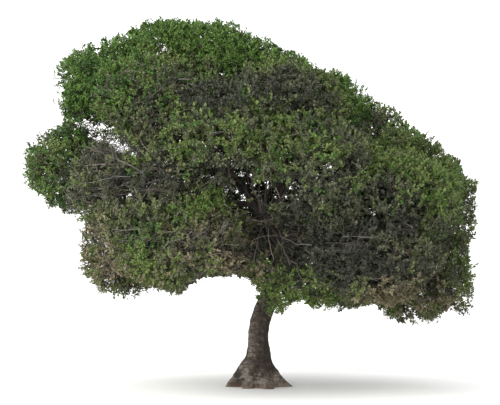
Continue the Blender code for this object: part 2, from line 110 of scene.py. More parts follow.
class Ripple:
    """A smooth random height over space, made of waves that run in many directions."""

    rates: Pair = (0.7, 1.5)

    def __init__(self, seed: int, waves: int, length: float, stretch: Place = (1.0, 1.0, 1.0)) -> None:
        """Picks the waves.

        Args:
            seed: The seed that the directions and phases come from.
            waves: How many waves are added up.
            length: Their mean wavelength in metres.
            stretch: How much longer they are along each axis.
        """
        chance = np.random.default_rng(seed)
        runs = unit(chance.normal(size=(waves, 3))) / np.array(stretch)
        self.runs = runs * (2 * math.pi / length) * chance.uniform(*self.rates, (waves, 1))
        self.starts = chance.uniform(0, 2 * math.pi, waves)
        self.size = math.sqrt(2 / waves)

    def at(self, points: Array) -> Array:
        """The height at each point, mostly between -1 and 1."""
        return np.sin(points @ self.runs.T + self.starts).sum(axis=-1) * self.size


# Materials.

Value = Union["Shade", float]


class Shade:
    """A value on its way through a material. Arithmetic on it adds the nodes for it."""

    def __init__(self, paint: "Paint", socket: bpy.types.NodeSocket) -> None:
        """Wraps one output socket."""
        self.paint = paint
        self.socket = socket

    def _maths(self, operation: str, *values: Value) -> "Shade":
        """Adds one Math node and returns its result."""
        return self.paint.node("ShaderNodeMath", {"operation": operation}, dict(enumerate(values)))

    def __add__(self, other: Value) -> "Shade":
        """The sum."""
        return self._maths("ADD", self, other)

    def __radd__(self, other: Value) -> "Shade":
        """The sum, with the plain number first."""
        return self._maths("ADD", other, self)

    def __sub__(self, other: Value) -> "Shade":
        """The difference."""
        return self._maths("SUBTRACT", self, other)

    def __rsub__(self, other: Value) -> "Shade":
        """The difference, with the plain number first."""
        return self._maths("SUBTRACT", other, self)

    def __mul__(self, other: Value) -> "Shade":
        """The product."""
        return self._maths("MULTIPLY", self, other)

    def __rmul__(self, other: Value) -> "Shade":
        """The product, with the plain number first."""
        return self._maths("MULTIPLY", other, self)

    def between(self, low: float, high: float) -> "Shade":
        """Zero below one value and one above another, with a soft step from one to the other."""
        return self.paint.node(
            "ShaderNodeMapRange",
            {"interpolation_type": "SMOOTHSTEP", "clamp": True},
            {"Value": self, "From Min": low, "From Max": high},
        )


class Paint:
    """The node tree of one material."""

    def __init__(self, name: str) -> None:
        """Makes the material with its shader."""
        self.material = bpy.data.materials.new(name)
        self.material.use_nodes = True
        self.tree = self.material.node_tree
        self.shader = self.tree.nodes["Principled BSDF"]

    def node(
        self,
        kind: str,
        settings: Mapping[str, Any] | None = None,
        inputs: Mapping[str | int, Any] | None = None,
        output: str | int = 0,
    ) -> Shade:
        """Adds a node.

        Args:
            kind: The node's type.
            settings: Its own settings, set before its sockets. A ramp's are its stops.
            inputs: Values or links for its sockets, by name or number.
            output: Which of its outputs is wanted.

        Returns:
            That output.
        """
        made = self.tree.nodes.new(kind)
        for name, value in (settings or {}).items():
            if name == "stops":
                self._set_stops(made.color_ramp, value)
            else:
                setattr(made, name, value)
        for name, value in (inputs or {}).items():
            self._feed(made.inputs[name], value)
        return Shade(self, made.outputs[output])

    def mix(self, share: Value, low: Any, high: Any) -> Shade:
        """A colour between two, by a share from 0 to 1."""
        return self.node(
            "ShaderNodeMix",
            {"data_type": "RGBA", "clamp_factor": True},
            {0: share, 6: self._colour(low), 7: self._colour(high)},
            output=2,
        )

    def feed(self, **sockets: Any) -> None:
        """Sets or links the shader's own sockets. An underscore stands for a space."""
        for name, value in sockets.items():
            self._feed(self.shader.inputs[name.replace("_", " ")], value)

    @staticmethod
    def _colour(value: Any) -> Any:
        """A plain colour with its alpha, or a link as it is."""
        return value if isinstance(value, Shade) else (*value, 1.0)

    def _feed(self, socket: bpy.types.NodeSocket, value: Any) -> None:
        """Gives an input socket a link or a value."""
        if isinstance(value, Shade):
            self.tree.links.new(value.socket, socket)
        else:
            socket.default_value = value

    @staticmethod
    def _set_stops(ramp: bpy.types.ColorRamp, stops: Sequence[tuple[float, Colour]]) -> None:
        """Sets a ramp's stops."""
        while len(ramp.elements) < len(stops):
            ramp.elements.new(1.0)
        for element, (place, colour) in zip(ramp.elements, stops):
            element.position = place
            element.color = (*colour, 1.0)


@dataclass(frozen=True)
class PlainFinish:
    """A finish of one colour, for things too small and many to carry a pattern each."""

    name: str
    colour: Colour
    roughness: float
    shine: float = 0.14

    def material(self) -> bpy.types.Material:
        """Makes the material."""
        paint = Paint(self.name)
        paint.feed(
            Base_Color=(*self.colour, 1.0),
            Roughness=self.roughness,
            Metallic=0.0,
            Specular_IOR_Level=self.shine,
        )
        return paint.material


class LeafTint(Enum):
    """The leaves' tints, lit and shaded copies, from painted deep shade to sunlit new growth."""

    DEEP = PlainFinish("leaf_deep_shade", (0.039, 0.042, 0.031), 0.68)
    DUSK = PlainFinish("leaf_dusk", (0.05, 0.054, 0.039), 0.66)
    SHADE = PlainFinish("leaf_shade", (0.04, 0.064, 0.024), 0.66)
    WITHERED = PlainFinish("leaf_withered", (0.074, 0.066, 0.047), 0.7)
    OLIVE = PlainFinish("leaf_olive", (0.066, 0.071, 0.044), 0.64)
    DULL = PlainFinish("leaf_dull_green", (0.044, 0.082, 0.023), 0.62)
    GREY = PlainFinish("leaf_grey_green", (0.086, 0.095, 0.056), 0.62)
    MID = PlainFinish("leaf_mid_green", (0.046, 0.1, 0.025), 0.6)
    GOLDEN = PlainFinish("leaf_golden_green", (0.092, 0.117, 0.044), 0.6)
    DRY = PlainFinish("leaf_dry", (0.117, 0.103, 0.062), 0.72)
    BRIGHT = PlainFinish("leaf_bright_green", (0.06, 0.12, 0.028), 0.58)
    STRAW = PlainFinish("leaf_straw", (0.182, 0.16, 0.1), 0.74)
    LIME = PlainFinish("leaf_olive_growth", (0.104, 0.139, 0.043), 0.58)
    NEW = PlainFinish("leaf_new_growth", (0.08, 0.143, 0.033), 0.56)


class TwigTint(Enum):
    """The twigs' tints."""

    YOUNG = PlainFinish("twig_young_green", (0.052, 0.07, 0.027), 0.75)
    SHADED = PlainFinish("twig_shaded", (0.062, 0.053, 0.047), 0.85)
    BROWN = PlainFinish("twig_grey_brown", (0.105, 0.089, 0.077), 0.85)
    PALE = PlainFinish("twig_pale_grey", (0.16, 0.146, 0.134), 0.88)


# From painted shade to painted light, darkest first: the green sprays' tints, the grey ones' and the dry
# ones'.
LEAF_FAMILIES = (
    (LeafTint.DEEP, LeafTint.SHADE, LeafTint.DULL, LeafTint.MID, LeafTint.BRIGHT, LeafTint.NEW),
    (LeafTint.DEEP, LeafTint.DUSK, LeafTint.OLIVE, LeafTint.GREY, LeafTint.GOLDEN, LeafTint.LIME),
    (LeafTint.DEEP, LeafTint.DUSK, LeafTint.WITHERED, LeafTint.DRY, LeafTint.DRY, LeafTint.STRAW),
)
TONE_STEPS = (0.16, 0.32, 0.50, 0.68, 0.86)
LEAF_SLOTS = {tint: index for index, tint in enumerate(LeafTint)}
TWIG_SLOTS = {tint: index for index, tint in enumerate(TwigTint)}


def tinted(chosen: Array, tint: TwigTint) -> Array:
    """The slots of twigs: a tint's own for the chosen ones, the shaded tint's for the others."""
    return np.where(chosen, TWIG_SLOTS[tint], TWIG_SLOTS[TwigTint.SHADED])


@dataclass(frozen=True)
class BarkFinish:
    """Mottled grey-brown bark, with painted shade in its folds, on its right side and aloft, and rusty
    where it meets the ground.

    A noise has a scale and a detail. A step is where a soft step starts and where it ends.
    """

    dark: Colour = (0.014, 0.009, 0.006)
    middle: Colour = (0.046, 0.035, 0.027)
    pale: Colour = (0.145, 0.123, 0.104)
    fold_shade: Colour = (0.014, 0.01, 0.008)
    rust: Colour = (0.11, 0.052, 0.026)
    # The boughs' plain colour, and painted shade as well: the bark blends to it from 1.7 m up, under the
    # crown.
    bough: Colour = (0.052, 0.044, 0.038)
    squash: Place = (1.0, 1.0, 2.2)
    patch_noise: Pair = (6.5, 5.0)
    fleck_noise: Pair = (17.0, 6.0)
    grain_noise: Pair = (50.0, 8.0)
    noise_roughness: float = 0.6
    noise_distortion: float = 0.4
    stops: Place = (0.38, 0.5, 0.63)
    patch_share: float = 0.5
    fleck_share: float = 0.5
    shade_and_paling_share: float = 0.19
    shade_and_paling_middle: float = 0.52
    shade_share: float = 0.3
    dark_step: Pair = (0.0, 0.45)
    grain_share: float = 0.45
    grain_step: Pair = (0.54, 0.68)
    fold_shade_flecks: float = 0.5
    fleck_middle: float = 0.5
    fold_shade_share: float = 0.85
    rust_share: float = 0.6
    rust_height: Pair = (0.01, 0.1)
    rust_flecks: Pair = (0.4, 0.62)
    bough_and_shade_share: float = 0.7
    bough_and_shade_height: Pair = (1.7, 3.0)
    bump_strength: float = 0.9
    bump_height: float = 0.006
    bump_flecks: float = 0.7
    roughness: float = 0.8
    patch_roughness: float = 0.14
    shine: float = 0.3

    def material(self) -> bpy.types.Material:
        """Makes the material."""
        paint = Paint("bark")
        place = paint.node("ShaderNodeTexCoord", output="Object")
        drawn = paint.node("ShaderNodeVectorMath", {"operation": "MULTIPLY"}, {0: place, 1: self.squash})
        patches, flecks, grain = (
            self._noise(paint, drawn, *noise)
            for noise in (self.patch_noise, self.fleck_noise, self.grain_noise)
        )
        height = paint.node("ShaderNodeSeparateXYZ", None, {0: place}, output="Z")
        relief, shade_and_paling = (
            paint.node("ShaderNodeAttribute", {"attribute_name": name}, output="Fac")
            for name in ("relief", "weathered")
        )

        # Painted shade: the kept value darkens the trunk's right side and its top under the crown, and
        # pales its foot.
        weathered = self.shade_and_paling_share * (shade_and_paling - self.shade_and_paling_middle)
        mottled = paint.node(
            "ShaderNodeValToRGB",
            {"stops": list(zip(self.stops, (self.dark, self.middle, self.pale)))},
            {"Fac": self.patch_share * patches + self.fleck_share * flecks + weathered},
        )
        shaded = paint.mix((1 - shade_and_paling.between(*self.dark_step)) * self.shade_share, mottled, self.dark)
        flecked = paint.mix(grain.between(*self.grain_step) * self.grain_share, shaded, self.pale)
        # Painted shade in the folds and dents: where the kept relief is low, broken up by flecks, the bark
        # goes dark.
        fold_shade_level = relief + self.fold_shade_flecks * (flecks - self.fleck_middle)
        folded = paint.mix((1 - fold_shade_level.between(*self.dark_step)) * self.fold_shade_share, flecked, self.fold_shade)
        low = (1 - height.between(*self.rust_height)) * flecks.between(*self.rust_flecks)
        rusty = paint.mix(low * self.rust_share, folded, self.rust)
        # Higher up the bark blends to the plain darker bough colour: the boughs' own colour and painted
        # shade under the crown.
        aloft = paint.mix(height.between(*self.bough_and_shade_height) * self.bough_and_shade_share, rusty, self.bough)
        raised = grain + self.bump_flecks * flecks
        bump = paint.node(
            "ShaderNodeBump",
            None,
            {"Strength": self.bump_strength, "Distance": self.bump_height, "Height": raised},
            output="Normal",
        )
        paint.feed(
            Base_Color=aloft,
            Roughness=self.roughness + self.patch_roughness * patches,
            Metallic=0.0,
            Specular_IOR_Level=self.shine,
            Normal=bump,
        )
        return paint.material

    def _noise(self, paint: Paint, place: Shade, scale: float, detail: float) -> Shade:
        """Cloudy noise of a scale and a detail."""
        looks = {"Roughness": self.noise_roughness, "Distortion": self.noise_distortion}
        inputs = {"Vector": place, "Scale": scale, "Detail": detail, **looks}
        return paint.node("ShaderNodeTexNoise", None, inputs, output="Fac")


# The plan of the tree.


@dataclass(frozen=True)
class Traits:
    """How a clump grows, or what is added to that.

    Its light, from 0 to 1, is painted light and shade: how light a tint its sprays are dealt. Its leafiness
    and bareness say how many leafy and bare twigs it has. Its greyness is the share of its sprays that are
    grey or olive. Past 1, some are dry.
    """

    light: float
    leafiness: float = 0.0
    bareness: float = 0.0
    greyness: float = 0.0


class Habit(Enum):
    """How the clumps of a mass grow."""

    CROWN_TOP = Traits(0.69, 1.15, 0.1, 0.0)
    SUNNY = Traits(0.64, 1.08, 0.25, 0.85)
    FLANK = Traits(0.64, 1.15, 0.3, 0.8)
    TWIGGY = Traits(0.54, 0.65, 1.3, 1.0)
    SKIRT = Traits(0.62, 0.95, 1.0, 1.05)
    BEHIND = Traits(0.6, 0.95, 0.15, 0.4)


class Part(Enum):
    """The parts of the crown that the leaves are joined by."""

    TOP = "top"
    LEFT = "left"
    RIGHT = "right"
    FRONT = "front"
    BACK_LOW = "back_low"
    BACK_HIGH = "back_high"


@dataclass(frozen=True)
class Mass:
    """One mass of foliage and the bough that carries it, as in the solids."""

    name: str
    middle: Place
    reach: Place
    springs_from: str
    share: float
    part: Part
    habit: Habit
    core: float = 0.68


MASSES = (
    Mass("top_left", (-1.87, 0.05, 5.72), (0.9, 1.25, 0.9), "trunk", 1.0, Part.TOP, Habit.CROWN_TOP),
    Mass("top_right", (0.17, 0.0, 5.35), (0.9, 1.25, 0.88), "trunk", 0.98, Part.TOP, Habit.CROWN_TOP),
    Mass("right_flank", (3.04, 0.0, 3.42), (0.9, 1.2, 0.98), "trunk", 0.93, Part.RIGHT, Habit.SUNNY),
    Mass("left_skirt", (-2.5, 0.1, 2.4), (0.82, 1.1, 0.88), "trunk", 0.97, Part.LEFT, Habit.SKIRT),
    Mass("right_skirt", (2.05, 0.15, 1.9), (0.88, 1.0, 0.72), "trunk", 0.8, Part.RIGHT, Habit.SKIRT, 0.67),
    Mass("front_left", (-2.05, -1.95, 3.38), (1.15, 1.05, 0.9), "trunk", 0.95, Part.FRONT, Habit.TWIGGY),
    Mass("front_right", (0.85, -2.1, 3.6), (1.1, 1.0, 0.92), "trunk", 0.9, Part.FRONT, Habit.SUNNY),
    Mass("back_left", (-2.15, 1.9, 3.6), (1.2, 1.1, 1.0), "trunk", 0.96, Part.BACK_LOW, Habit.BEHIND),
    Mass("back_right", (1.15, 2.1, 3.35), (1.15, 1.05, 0.95), "trunk", 0.87, Part.BACK_HIGH, Habit.BEHIND),
    Mass("top", (-0.79, -0.05, 5.74), (0.88, 1.3, 0.88), "top_left", 0.55, Part.TOP, Habit.CROWN_TOP),
    Mass("upper_left", (-2.88, 0.0, 5.41), (0.86, 1.1, 0.8), "top_left", 0.62, Part.TOP, Habit.CROWN_TOP),
    Mass("left_lobe", (-3.5, 0.05, 3.9), (0.82, 1.1, 0.82), "top_left", 0.3, Part.LEFT, Habit.FLANK),
    Mass("left_inner", (-1.4, 0.1, 2.4), (0.84, 1.05, 0.78),
         "left_skirt", 0.3, Part.LEFT, Habit.SKIRT, 0.67),
    Mass("right_shoulder", (1.2, 0.0, 4.84), (0.9, 1.3, 0.86),
         "top_right", 0.45, Part.TOP, Habit.CROWN_TOP),
    Mass("right_upper", (2.15, 0.05, 4.18), (0.9, 1.25, 0.86),
         "right_flank", 0.42, Part.RIGHT, Habit.FLANK),
    Mass("right_low", (3.02, 0.0, 2.02), (0.9, 1.1, 0.92),
         "right_flank", 0.55, Part.RIGHT, Habit.SKIRT, 0.67),
    Mass("front_clump", (-0.55, -2.1, 4.12), (1.02, 1.0, 0.9),
         "front_left", 0.45, Part.FRONT, Habit.SUNNY, 0.7),
    Mass("front_low_left", (-1.3, -2.0, 2.45), (1.15, 1.05, 0.84),
         "front_left", 0.3, Part.LEFT, Habit.SKIRT, 0.67),
    Mass("front_low_right", (1.8, -1.9, 2.22), (1.15, 1.05, 0.84),
         "front_right", 0.35, Part.RIGHT, Habit.SKIRT, 0.67),
    Mass("front_far_right", (2.3, -1.6, 3.15), (1.1, 1.05, 0.92),
         "right_flank", 0.3, Part.FRONT, Habit.FLANK),
    Mass("front_upper_left", (-1.75, -1.35, 4.82), (1.15, 1.0, 0.92),
         "top_left", 0.38, Part.FRONT, Habit.FLANK, 0.7),
    Mass("front_upper_right", (0.38, -1.42, 4.7), (1.15, 1.0, 0.9),
         "top_right", 0.34, Part.TOP, Habit.SUNNY, 0.7),
    Mass("back_low_left", (-1.35, 2.0, 2.45), (1.2, 1.1, 0.86),
         "back_left", 0.32, Part.BACK_LOW, Habit.BEHIND, 0.67),
    Mass("back_low_right", (1.75, 1.95, 2.15), (1.2, 1.1, 0.86),
         "back_right", 0.32, Part.BACK_LOW, Habit.BEHIND, 0.67),
    Mass("back_far_right", (2.5, 1.55, 3.1), (1.1, 1.1, 1.0),
         "right_flank", 0.36, Part.BACK_LOW, Habit.BEHIND),
    Mass("back_mid", (-0.5, 2.2, 3.8), (1.1, 1.0, 0.98), "back_left", 0.36, Part.BACK_HIGH, Habit.BEHIND),
    Mass("back_upper_left", (-1.6, 1.4, 4.95), (1.2, 1.05, 0.92),
         "top_left", 0.44, Part.BACK_HIGH, Habit.BEHIND, 0.7),
    Mass("back_upper_right", (0.5, 1.45, 4.65), (1.2, 1.05, 0.92),
         "top_right", 0.4, Part.BACK_HIGH, Habit.BEHIND, 0.7),
    Mass("trunk_skirt", (0.68, -1.05, 1.8), (0.8, 0.62, 0.52), "trunk", 0.84, Part.FRONT, Habit.SUNNY),
)


@dataclass(frozen=True)
class Fill:
    """A place between the masses where leaves grow too, on twigs of the mass beside it."""

    mass: str
    middle: Place
    reach: Place
    # Painted light: how light a tint its sprays are dealt, from 0 to 1.
    light: float
    leafiness: float
    bareness: float


FILLS = (
    Fill("trunk_skirt", (0.16, -0.78, 1.7), (0.46, 0.36, 0.44), 0.78, 1.1, 0.0),
    Fill("front_low_left", (-0.25, -0.95, 2.22), (0.6, 0.5, 0.52), 0.3, 0.55, 1.0),
    Fill("front_low_right", (0.55, -1.35, 2.75), (0.55, 0.45, 0.5), 0.25, 0.5, 0.9),
    Fill("front_low_left", (-0.55, -1.3, 2.95), (0.55, 0.55, 0.45), 0.32, 0.6, 0.9),
    Fill("back_low_right", (0.2, 1.75, 2.35), (0.75, 0.8, 0.72), 0.3, 1.0, 0.1),
    Fill("back_mid", (0.1, 1.6, 3.0), (0.8, 0.8, 0.7), 0.3, 1.0, 0.1),
    Fill("back_mid", (0.0, 1.0, 2.95), (0.45, 0.5, 0.45), 0.3, 1.0, 0.0),
    Fill("top", (-1.35, 0.0, 6.12), (0.85, 0.9, 0.46), 0.6, 1.0, 0.1),
    Fill("upper_left", (-3.22, -0.05, 4.72), (0.36, 0.7, 0.3), 0.55, 0.8, 0.4),
    Fill("top_left", (-2.25, 0.0, 4.35), (0.6, 0.6, 0.55), 0.5, 0.6, 0.8),
    Fill("right_flank", (3.48, 0.0, 2.86), (0.4, 0.6, 0.44), 0.55, 1.0, 0.3),
    Fill("right_low", (3.6, 0.0, 1.6), (0.3, 0.5, 0.32), 0.55, 1.0, 0.3),
    Fill("right_low", (2.78, 0.0, 1.32), (0.36, 0.5, 0.24), 0.55, 1.0, 0.3),
    Fill("upper_left", (-3.62, 0.0, 5.06), (0.17, 0.25, 0.12), 0.5, 1.0, 0.0),
    Fill("upper_left", (-2.86, 0.0, 6.22), (0.12, 0.2, 0.16), 0.6, 1.0, 0.3),
)

# Masses whose stem springs from the trunk itself, with no bough between.
ON_THE_TRUNK = ("trunk_skirt",)


@dataclass
class Limb:
    """A trunk or bough: the points along its axis and the radius at each."""

    name: str
    points: Array
    radii: Array

    def at(self, share: float) -> Array:
        """The point at a share of the limb's length, counted in even steps of its points."""
        place = min(max(share, 0.0), 1.0) * (len(self.points) - 1)
        low = min(int(place), len(self.points) - 2)
        return self.points[low] + (self.points[low + 1] - self.points[low]) * (place - low)

    def clearance(self, points: Array) -> Array:
        """How far each point lies outside the limb's surface. It is negative inside."""
        starts = self.points[:-1]
        runs = np.diff(self.points, axis=0)
        off = points[:, None, :] - starts
        shares = np.clip(dots(off, runs) / dots(runs, runs), 0.0, 1.0)
        radii = self.radii[:-1] + np.diff(self.radii) * shares
        return (np.linalg.norm(off - runs * shares[..., None], axis=-1) - radii).min(axis=1)

    def smoothed(self, step: float, least: int = 6) -> tuple[Array, Array]:
        """The limb's axis and radii on a smooth curve.

        Args:
            step: The wanted distance from ring to ring.
            least: How many rings there are at least.

        Returns:
            The points along the curve and the radius at each.
        """
        ends = (2 * self.points[0] - self.points[1], 2 * self.points[-1] - self.points[-2])
        knots = np.vstack((ends[0], self.points, ends[1]))
        length = np.linalg.norm(np.diff(self.points, axis=0), axis=1).sum()
        places = np.linspace(0, len(self.points) - 1, max(least, round(length / step)))
        low = np.minimum(places.astype(int), len(self.points) - 2)
        t = (places - low)[:, None]
        a, b, c, d = (knots[low + shift] for shift in range(4))
        curve = b + 0.5 * t * (c - a + t * (2 * a - 5 * b + 4 * c - d + t * (3 * (b - c) + d - a)))
        return curve, np.interp(places, np.arange(len(self.radii)), self.radii)


@dataclass(frozen=True)
class TrunkShape:
    """The trunk's taper, lean and flared foot, as in the solids.

    A root has a bearing in degrees, a share of the flare and a height.
    """

    fork_height: float = 2.45
    stem_radius: float = 0.165
    fork_swell: float = 0.03
    lean: float = 0.55
    lean_from: float = 0.95
    lean_power: float = 1.25
    sway: float = 0.04
    sway_turn: float = 1.6
    flare_reach: float = 0.445
    flare_power: float = 1.25
    flare_floor: float = 0.42
    flare_height: float = 0.24
    root_width: float = 24.0
    roots: tuple[Place, ...] = (
        (180, 1.0, 0.37),
        (238, 0.80, 0.26),
        (292, 0.92, 0.22),
        (2, 1.0, 0.21),
        (62, 0.78, 0.30),
        (120, 0.86, 0.26),
    )

    def middle(self, heights: Array) -> Array:
        """The trunk's axis at each height."""
        risen = np.maximum(0.0, heights - self.lean_from) / (self.fork_height - self.lean_from)
        across = self.lean * risen**self.lean_power
        return np.stack((across, self.sway * np.sin(self.sway_turn * heights), heights), axis=-1)

    def radius(self, heights: Array, bearings: Array) -> Array:
        """The trunk's radius at each height and bearing in degrees."""
        low = np.maximum(heights, 0.0)
        found = self.flare_floor * np.exp(-((low / self.flare_height) ** self.flare_power))
        for root, share, height in self.roots:
            ridge = share * hump(off_bearing(bearings, root) / self.root_width)
            found = np.maximum(found, ridge * np.exp(-((low / height) ** self.flare_power)))
        stem = self.stem_radius + self.fork_swell * (heights / self.fork_height) ** 2
        return stem + self.flare_reach * found

    def limb(self, steps: int = 11) -> Limb:
        """The trunk as a limb, for what springs from it and what keeps clear of it."""
        heights = self.fork_height * np.arange(steps + 1) / steps
        return Limb("trunk", self.middle(heights), self.radius(heights, np.zeros(steps + 1)))


@dataclass
class CrownPlan:
    """The masses' spaces and the boughs' paths, worked out by the solids' own rule."""

    trunk: TrunkShape = field(default_factory=TrunkShape)
    space_gap: float = 0.012
    tip_radius: float = 0.028
    foot_per_tip: float = 1.5
    taper_power: float = 0.75
    lead_steps: int = 7
    side_steps: int = 5
    leave_share: float = 0.32
    leave_out: float = 0.75
    leave_on: float = 0.25
    leave_up: float = 0.14
    arrive_share: float = 0.3
    arrive_down: float = 0.12
    tip_share: float = 0.9
    parent_probe: float = 0.1
    path_rounds: int = 24
    path_clear: float = 0.05
    foot_free: float = 0.25
    lead_free: float = 2.0
    side_free: float = 3.0
    blend: float = 3.0
    billow: float = 0.15
    billows: Ripple = Ripple(21, 24, 0.85)
    well_inside: float = 0.8
    heart: Place = (-0.1, 0.0, 3.3)
    spread: Place = (4.1, 3.1, 3.3)

    def __post_init__(self) -> None:
        """Works out the spaces, then the limbs."""
        self.middles = np.array([mass.middle for mass in MASSES])
        self.reaches = np.array([mass.reach for mass in MASSES])
        self.all_middles = np.vstack((self.middles, [fill.middle for fill in FILLS]))
        self.all_reaches = np.vstack((self.reaches, [fill.reach for fill in FILLS]))
        self.cores = np.array([mass.core for mass in MASSES])
        self.planes = [self._shared_planes(index) for index in range(len(MASSES))]
        self.limbs: dict[str, Limb] = {"trunk": self.trunk.limb()}
        for index, mass in enumerate(MASSES):
            if mass.name not in ON_THE_TRUNK:
                self.limbs[mass.name] = self._bough(index)

    def _shared_planes(self, index: int) -> tuple[Array, Array]:
        """Where a mass's own space ends towards each other mass.

        Args:
            index: The mass.

        Returns:
            The direction towards each other mass, and how far the space goes there.
        """
        others = np.arange(len(MASSES)) != index
        between = self.middles[others] - self.middles[index]
        apart = np.linalg.norm(between, axis=1)
        sizes = self.reaches.mean(axis=1) ** 2
        edges = (apart + (sizes[index] - sizes[others]) / apart) / 2 - self.space_gap
        return between / apart[:, None], edges

    def own(self, index: int, points: Array, slack: float = 0.0) -> Array:
        """Whether each point is on a mass's own side of every shared plane."""
        ways, edges = self.planes[index]
        return np.all((points - self.middles[index]) @ ways.T <= edges + slack, axis=1)

    def own_reach(self, index: int, way: Array) -> float:
        """How far a mass's own space reaches in a direction, within its outline."""
        ways, edges = self.planes[index]
        facing = ways @ way
        ahead = facing > 0
        outline = 1 / np.linalg.norm(way / self.reaches[index])
        return min(outline, (edges[ahead] / facing[ahead]).min())

    def _weights(self, points: Array) -> Array:
        """How much each mass and fill counts at each point: 1 at its own outline."""
        off = (points[:, None, :] - self.all_middles) / self.all_reaches
        return np.exp(self.blend * (1 - dots(off, off)))

    def depth(self, points: Array) -> Array:
        """How deep each point is in the crown: 0 at its outline, about 1 in a mass's middle."""
        return np.log(self._weights(points).sum(axis=1)) / self.blend

    def skin_depth(self, points: Array) -> Array:
        """The same depth, under a surface that billows in between the clumps."""
        return self.depth(points) - self.billow * np.clip(self.billows.at(points), 0, None)

    def outward(self, points: Array) -> Array:
        """The way out of the foliage at each point, square to its surface."""
        off = (points[:, None, :] - self.all_middles) / self.all_reaches**2
        return unit((self._weights(points)[..., None] * off).sum(axis=1))

    def in_a_mass(self, points: Array) -> Array:
        """Whether each point is well inside a mass, where a fill isn't wanted."""
        off = (points[:, None, :] - self.middles) / self.reaches
        return dots(off, off).min(axis=1) < self.well_inside

    def _from_heart(self, points: Array) -> Array:
        """The way to each point from the crown's heart, about 1 long at the crown's outline."""
        return (points - np.array(self.heart)) / np.array(self.spread)

    def openness(self, points: Array) -> Array:
        """How far each point's way out also leads out of the whole crown, from -1 to 1."""
        return dots(self.outward(points), unit(self._from_heart(points)))

    def remoteness(self, points: Array) -> Array:
        """How far each point is from the crown's heart: 1 is about its outline."""
        return np.linalg.norm(self._from_heart(points), axis=-1)

    def _carried(self, name: str) -> int:
        """How many boughs' tips a bough feeds, its own among them."""
        return 1 + sum(self._carried(mass.name) for mass in MASSES if mass.springs_from == name)

    def _pushed_clear(self, point: Array, radius: float, others: Sequence[Limb]) -> Array:
        """A bough's point moved out of the masses' cores and away from other limbs.

        Args:
            point: Where the point is.
            radius: The bough's radius there.
            others: The limbs that it keeps clear of.

        Returns:
            Where the point goes.
        """
        for index in range(len(MASSES)):
            size = self.cores[index] * self.reaches[index] + radius + self.path_clear
            depth = np.linalg.norm((point - self.middles[index]) / size)
            if depth < 1:
                point = self.middles[index] + (point - self.middles[index]) / depth
        for limb in others:
            gap = limb.clearance(point[None])[0] - radius - self.path_clear / 2
            if gap < 0:
                nearest = limb.points[np.linalg.norm(limb.points - point, axis=1).argmin()]
                point = point - unit(point - nearest) * gap
        return point

    def _bough(self, index: int) -> Limb:
        """The bough that carries a mass. It bends round the cores and limbs in its way."""
        mass = MASSES[index]
        parent = self.limbs[mass.springs_from]
        leads = mass.springs_from == "trunk"
        steps = self.lead_steps if leads else self.side_steps
        foot = self.tip_radius * self.foot_per_tip * math.sqrt(self._carried(mass.name))
        shares = np.arange(steps + 1) / steps
        radii = foot + (self.tip_radius - foot) * shares**self.taper_power
        root = parent.at(mass.share)
        onward = parent.at(mass.share + self.parent_probe) - parent.at(mass.share - self.parent_probe)
        inward = unit(unit(root - self.middles[index]) - UP * self.arrive_down)
        tip = self.middles[index] + inward * self.tip_share * self.own_reach(index, inward)
        run = np.linalg.norm(tip - root)
        leave = unit(unit(tip - root) * self.leave_out + unit(onward) * self.leave_on + UP * self.leave_up)
        first = root + leave * run * self.leave_share
        last = tip + inward * run * self.arrive_share
        points = sweep(shares[:, None], root, first, last, tip)
        free_from = self.foot_free + (self.lead_free * parent.radii[0] if leads else self.side_free * foot)
        others = [limb for limb in self.limbs.values() if limb is not parent]
        for _ in range(self.path_rounds):
            for place in range(1, steps - 1):
                smooth = points[place] / 2 + (points[place - 1] + points[place + 1]) / 4
                near = others if np.linalg.norm(smooth - root) > free_from else []
                points[place] = self._pushed_clear(smooth, radii[place], near)
        return Limb(mass.name, points, radii)

    def clear_of_limbs(self, points: Array, gap: float) -> Array:
        """Whether each point keeps a gap from the trunk and every bough."""
        clear = np.ones(len(points), dtype=bool)
        for limb in self.limbs.values():
            clear &= limb.clearance(points) > gap
        return clear


# Meshes from arrays.


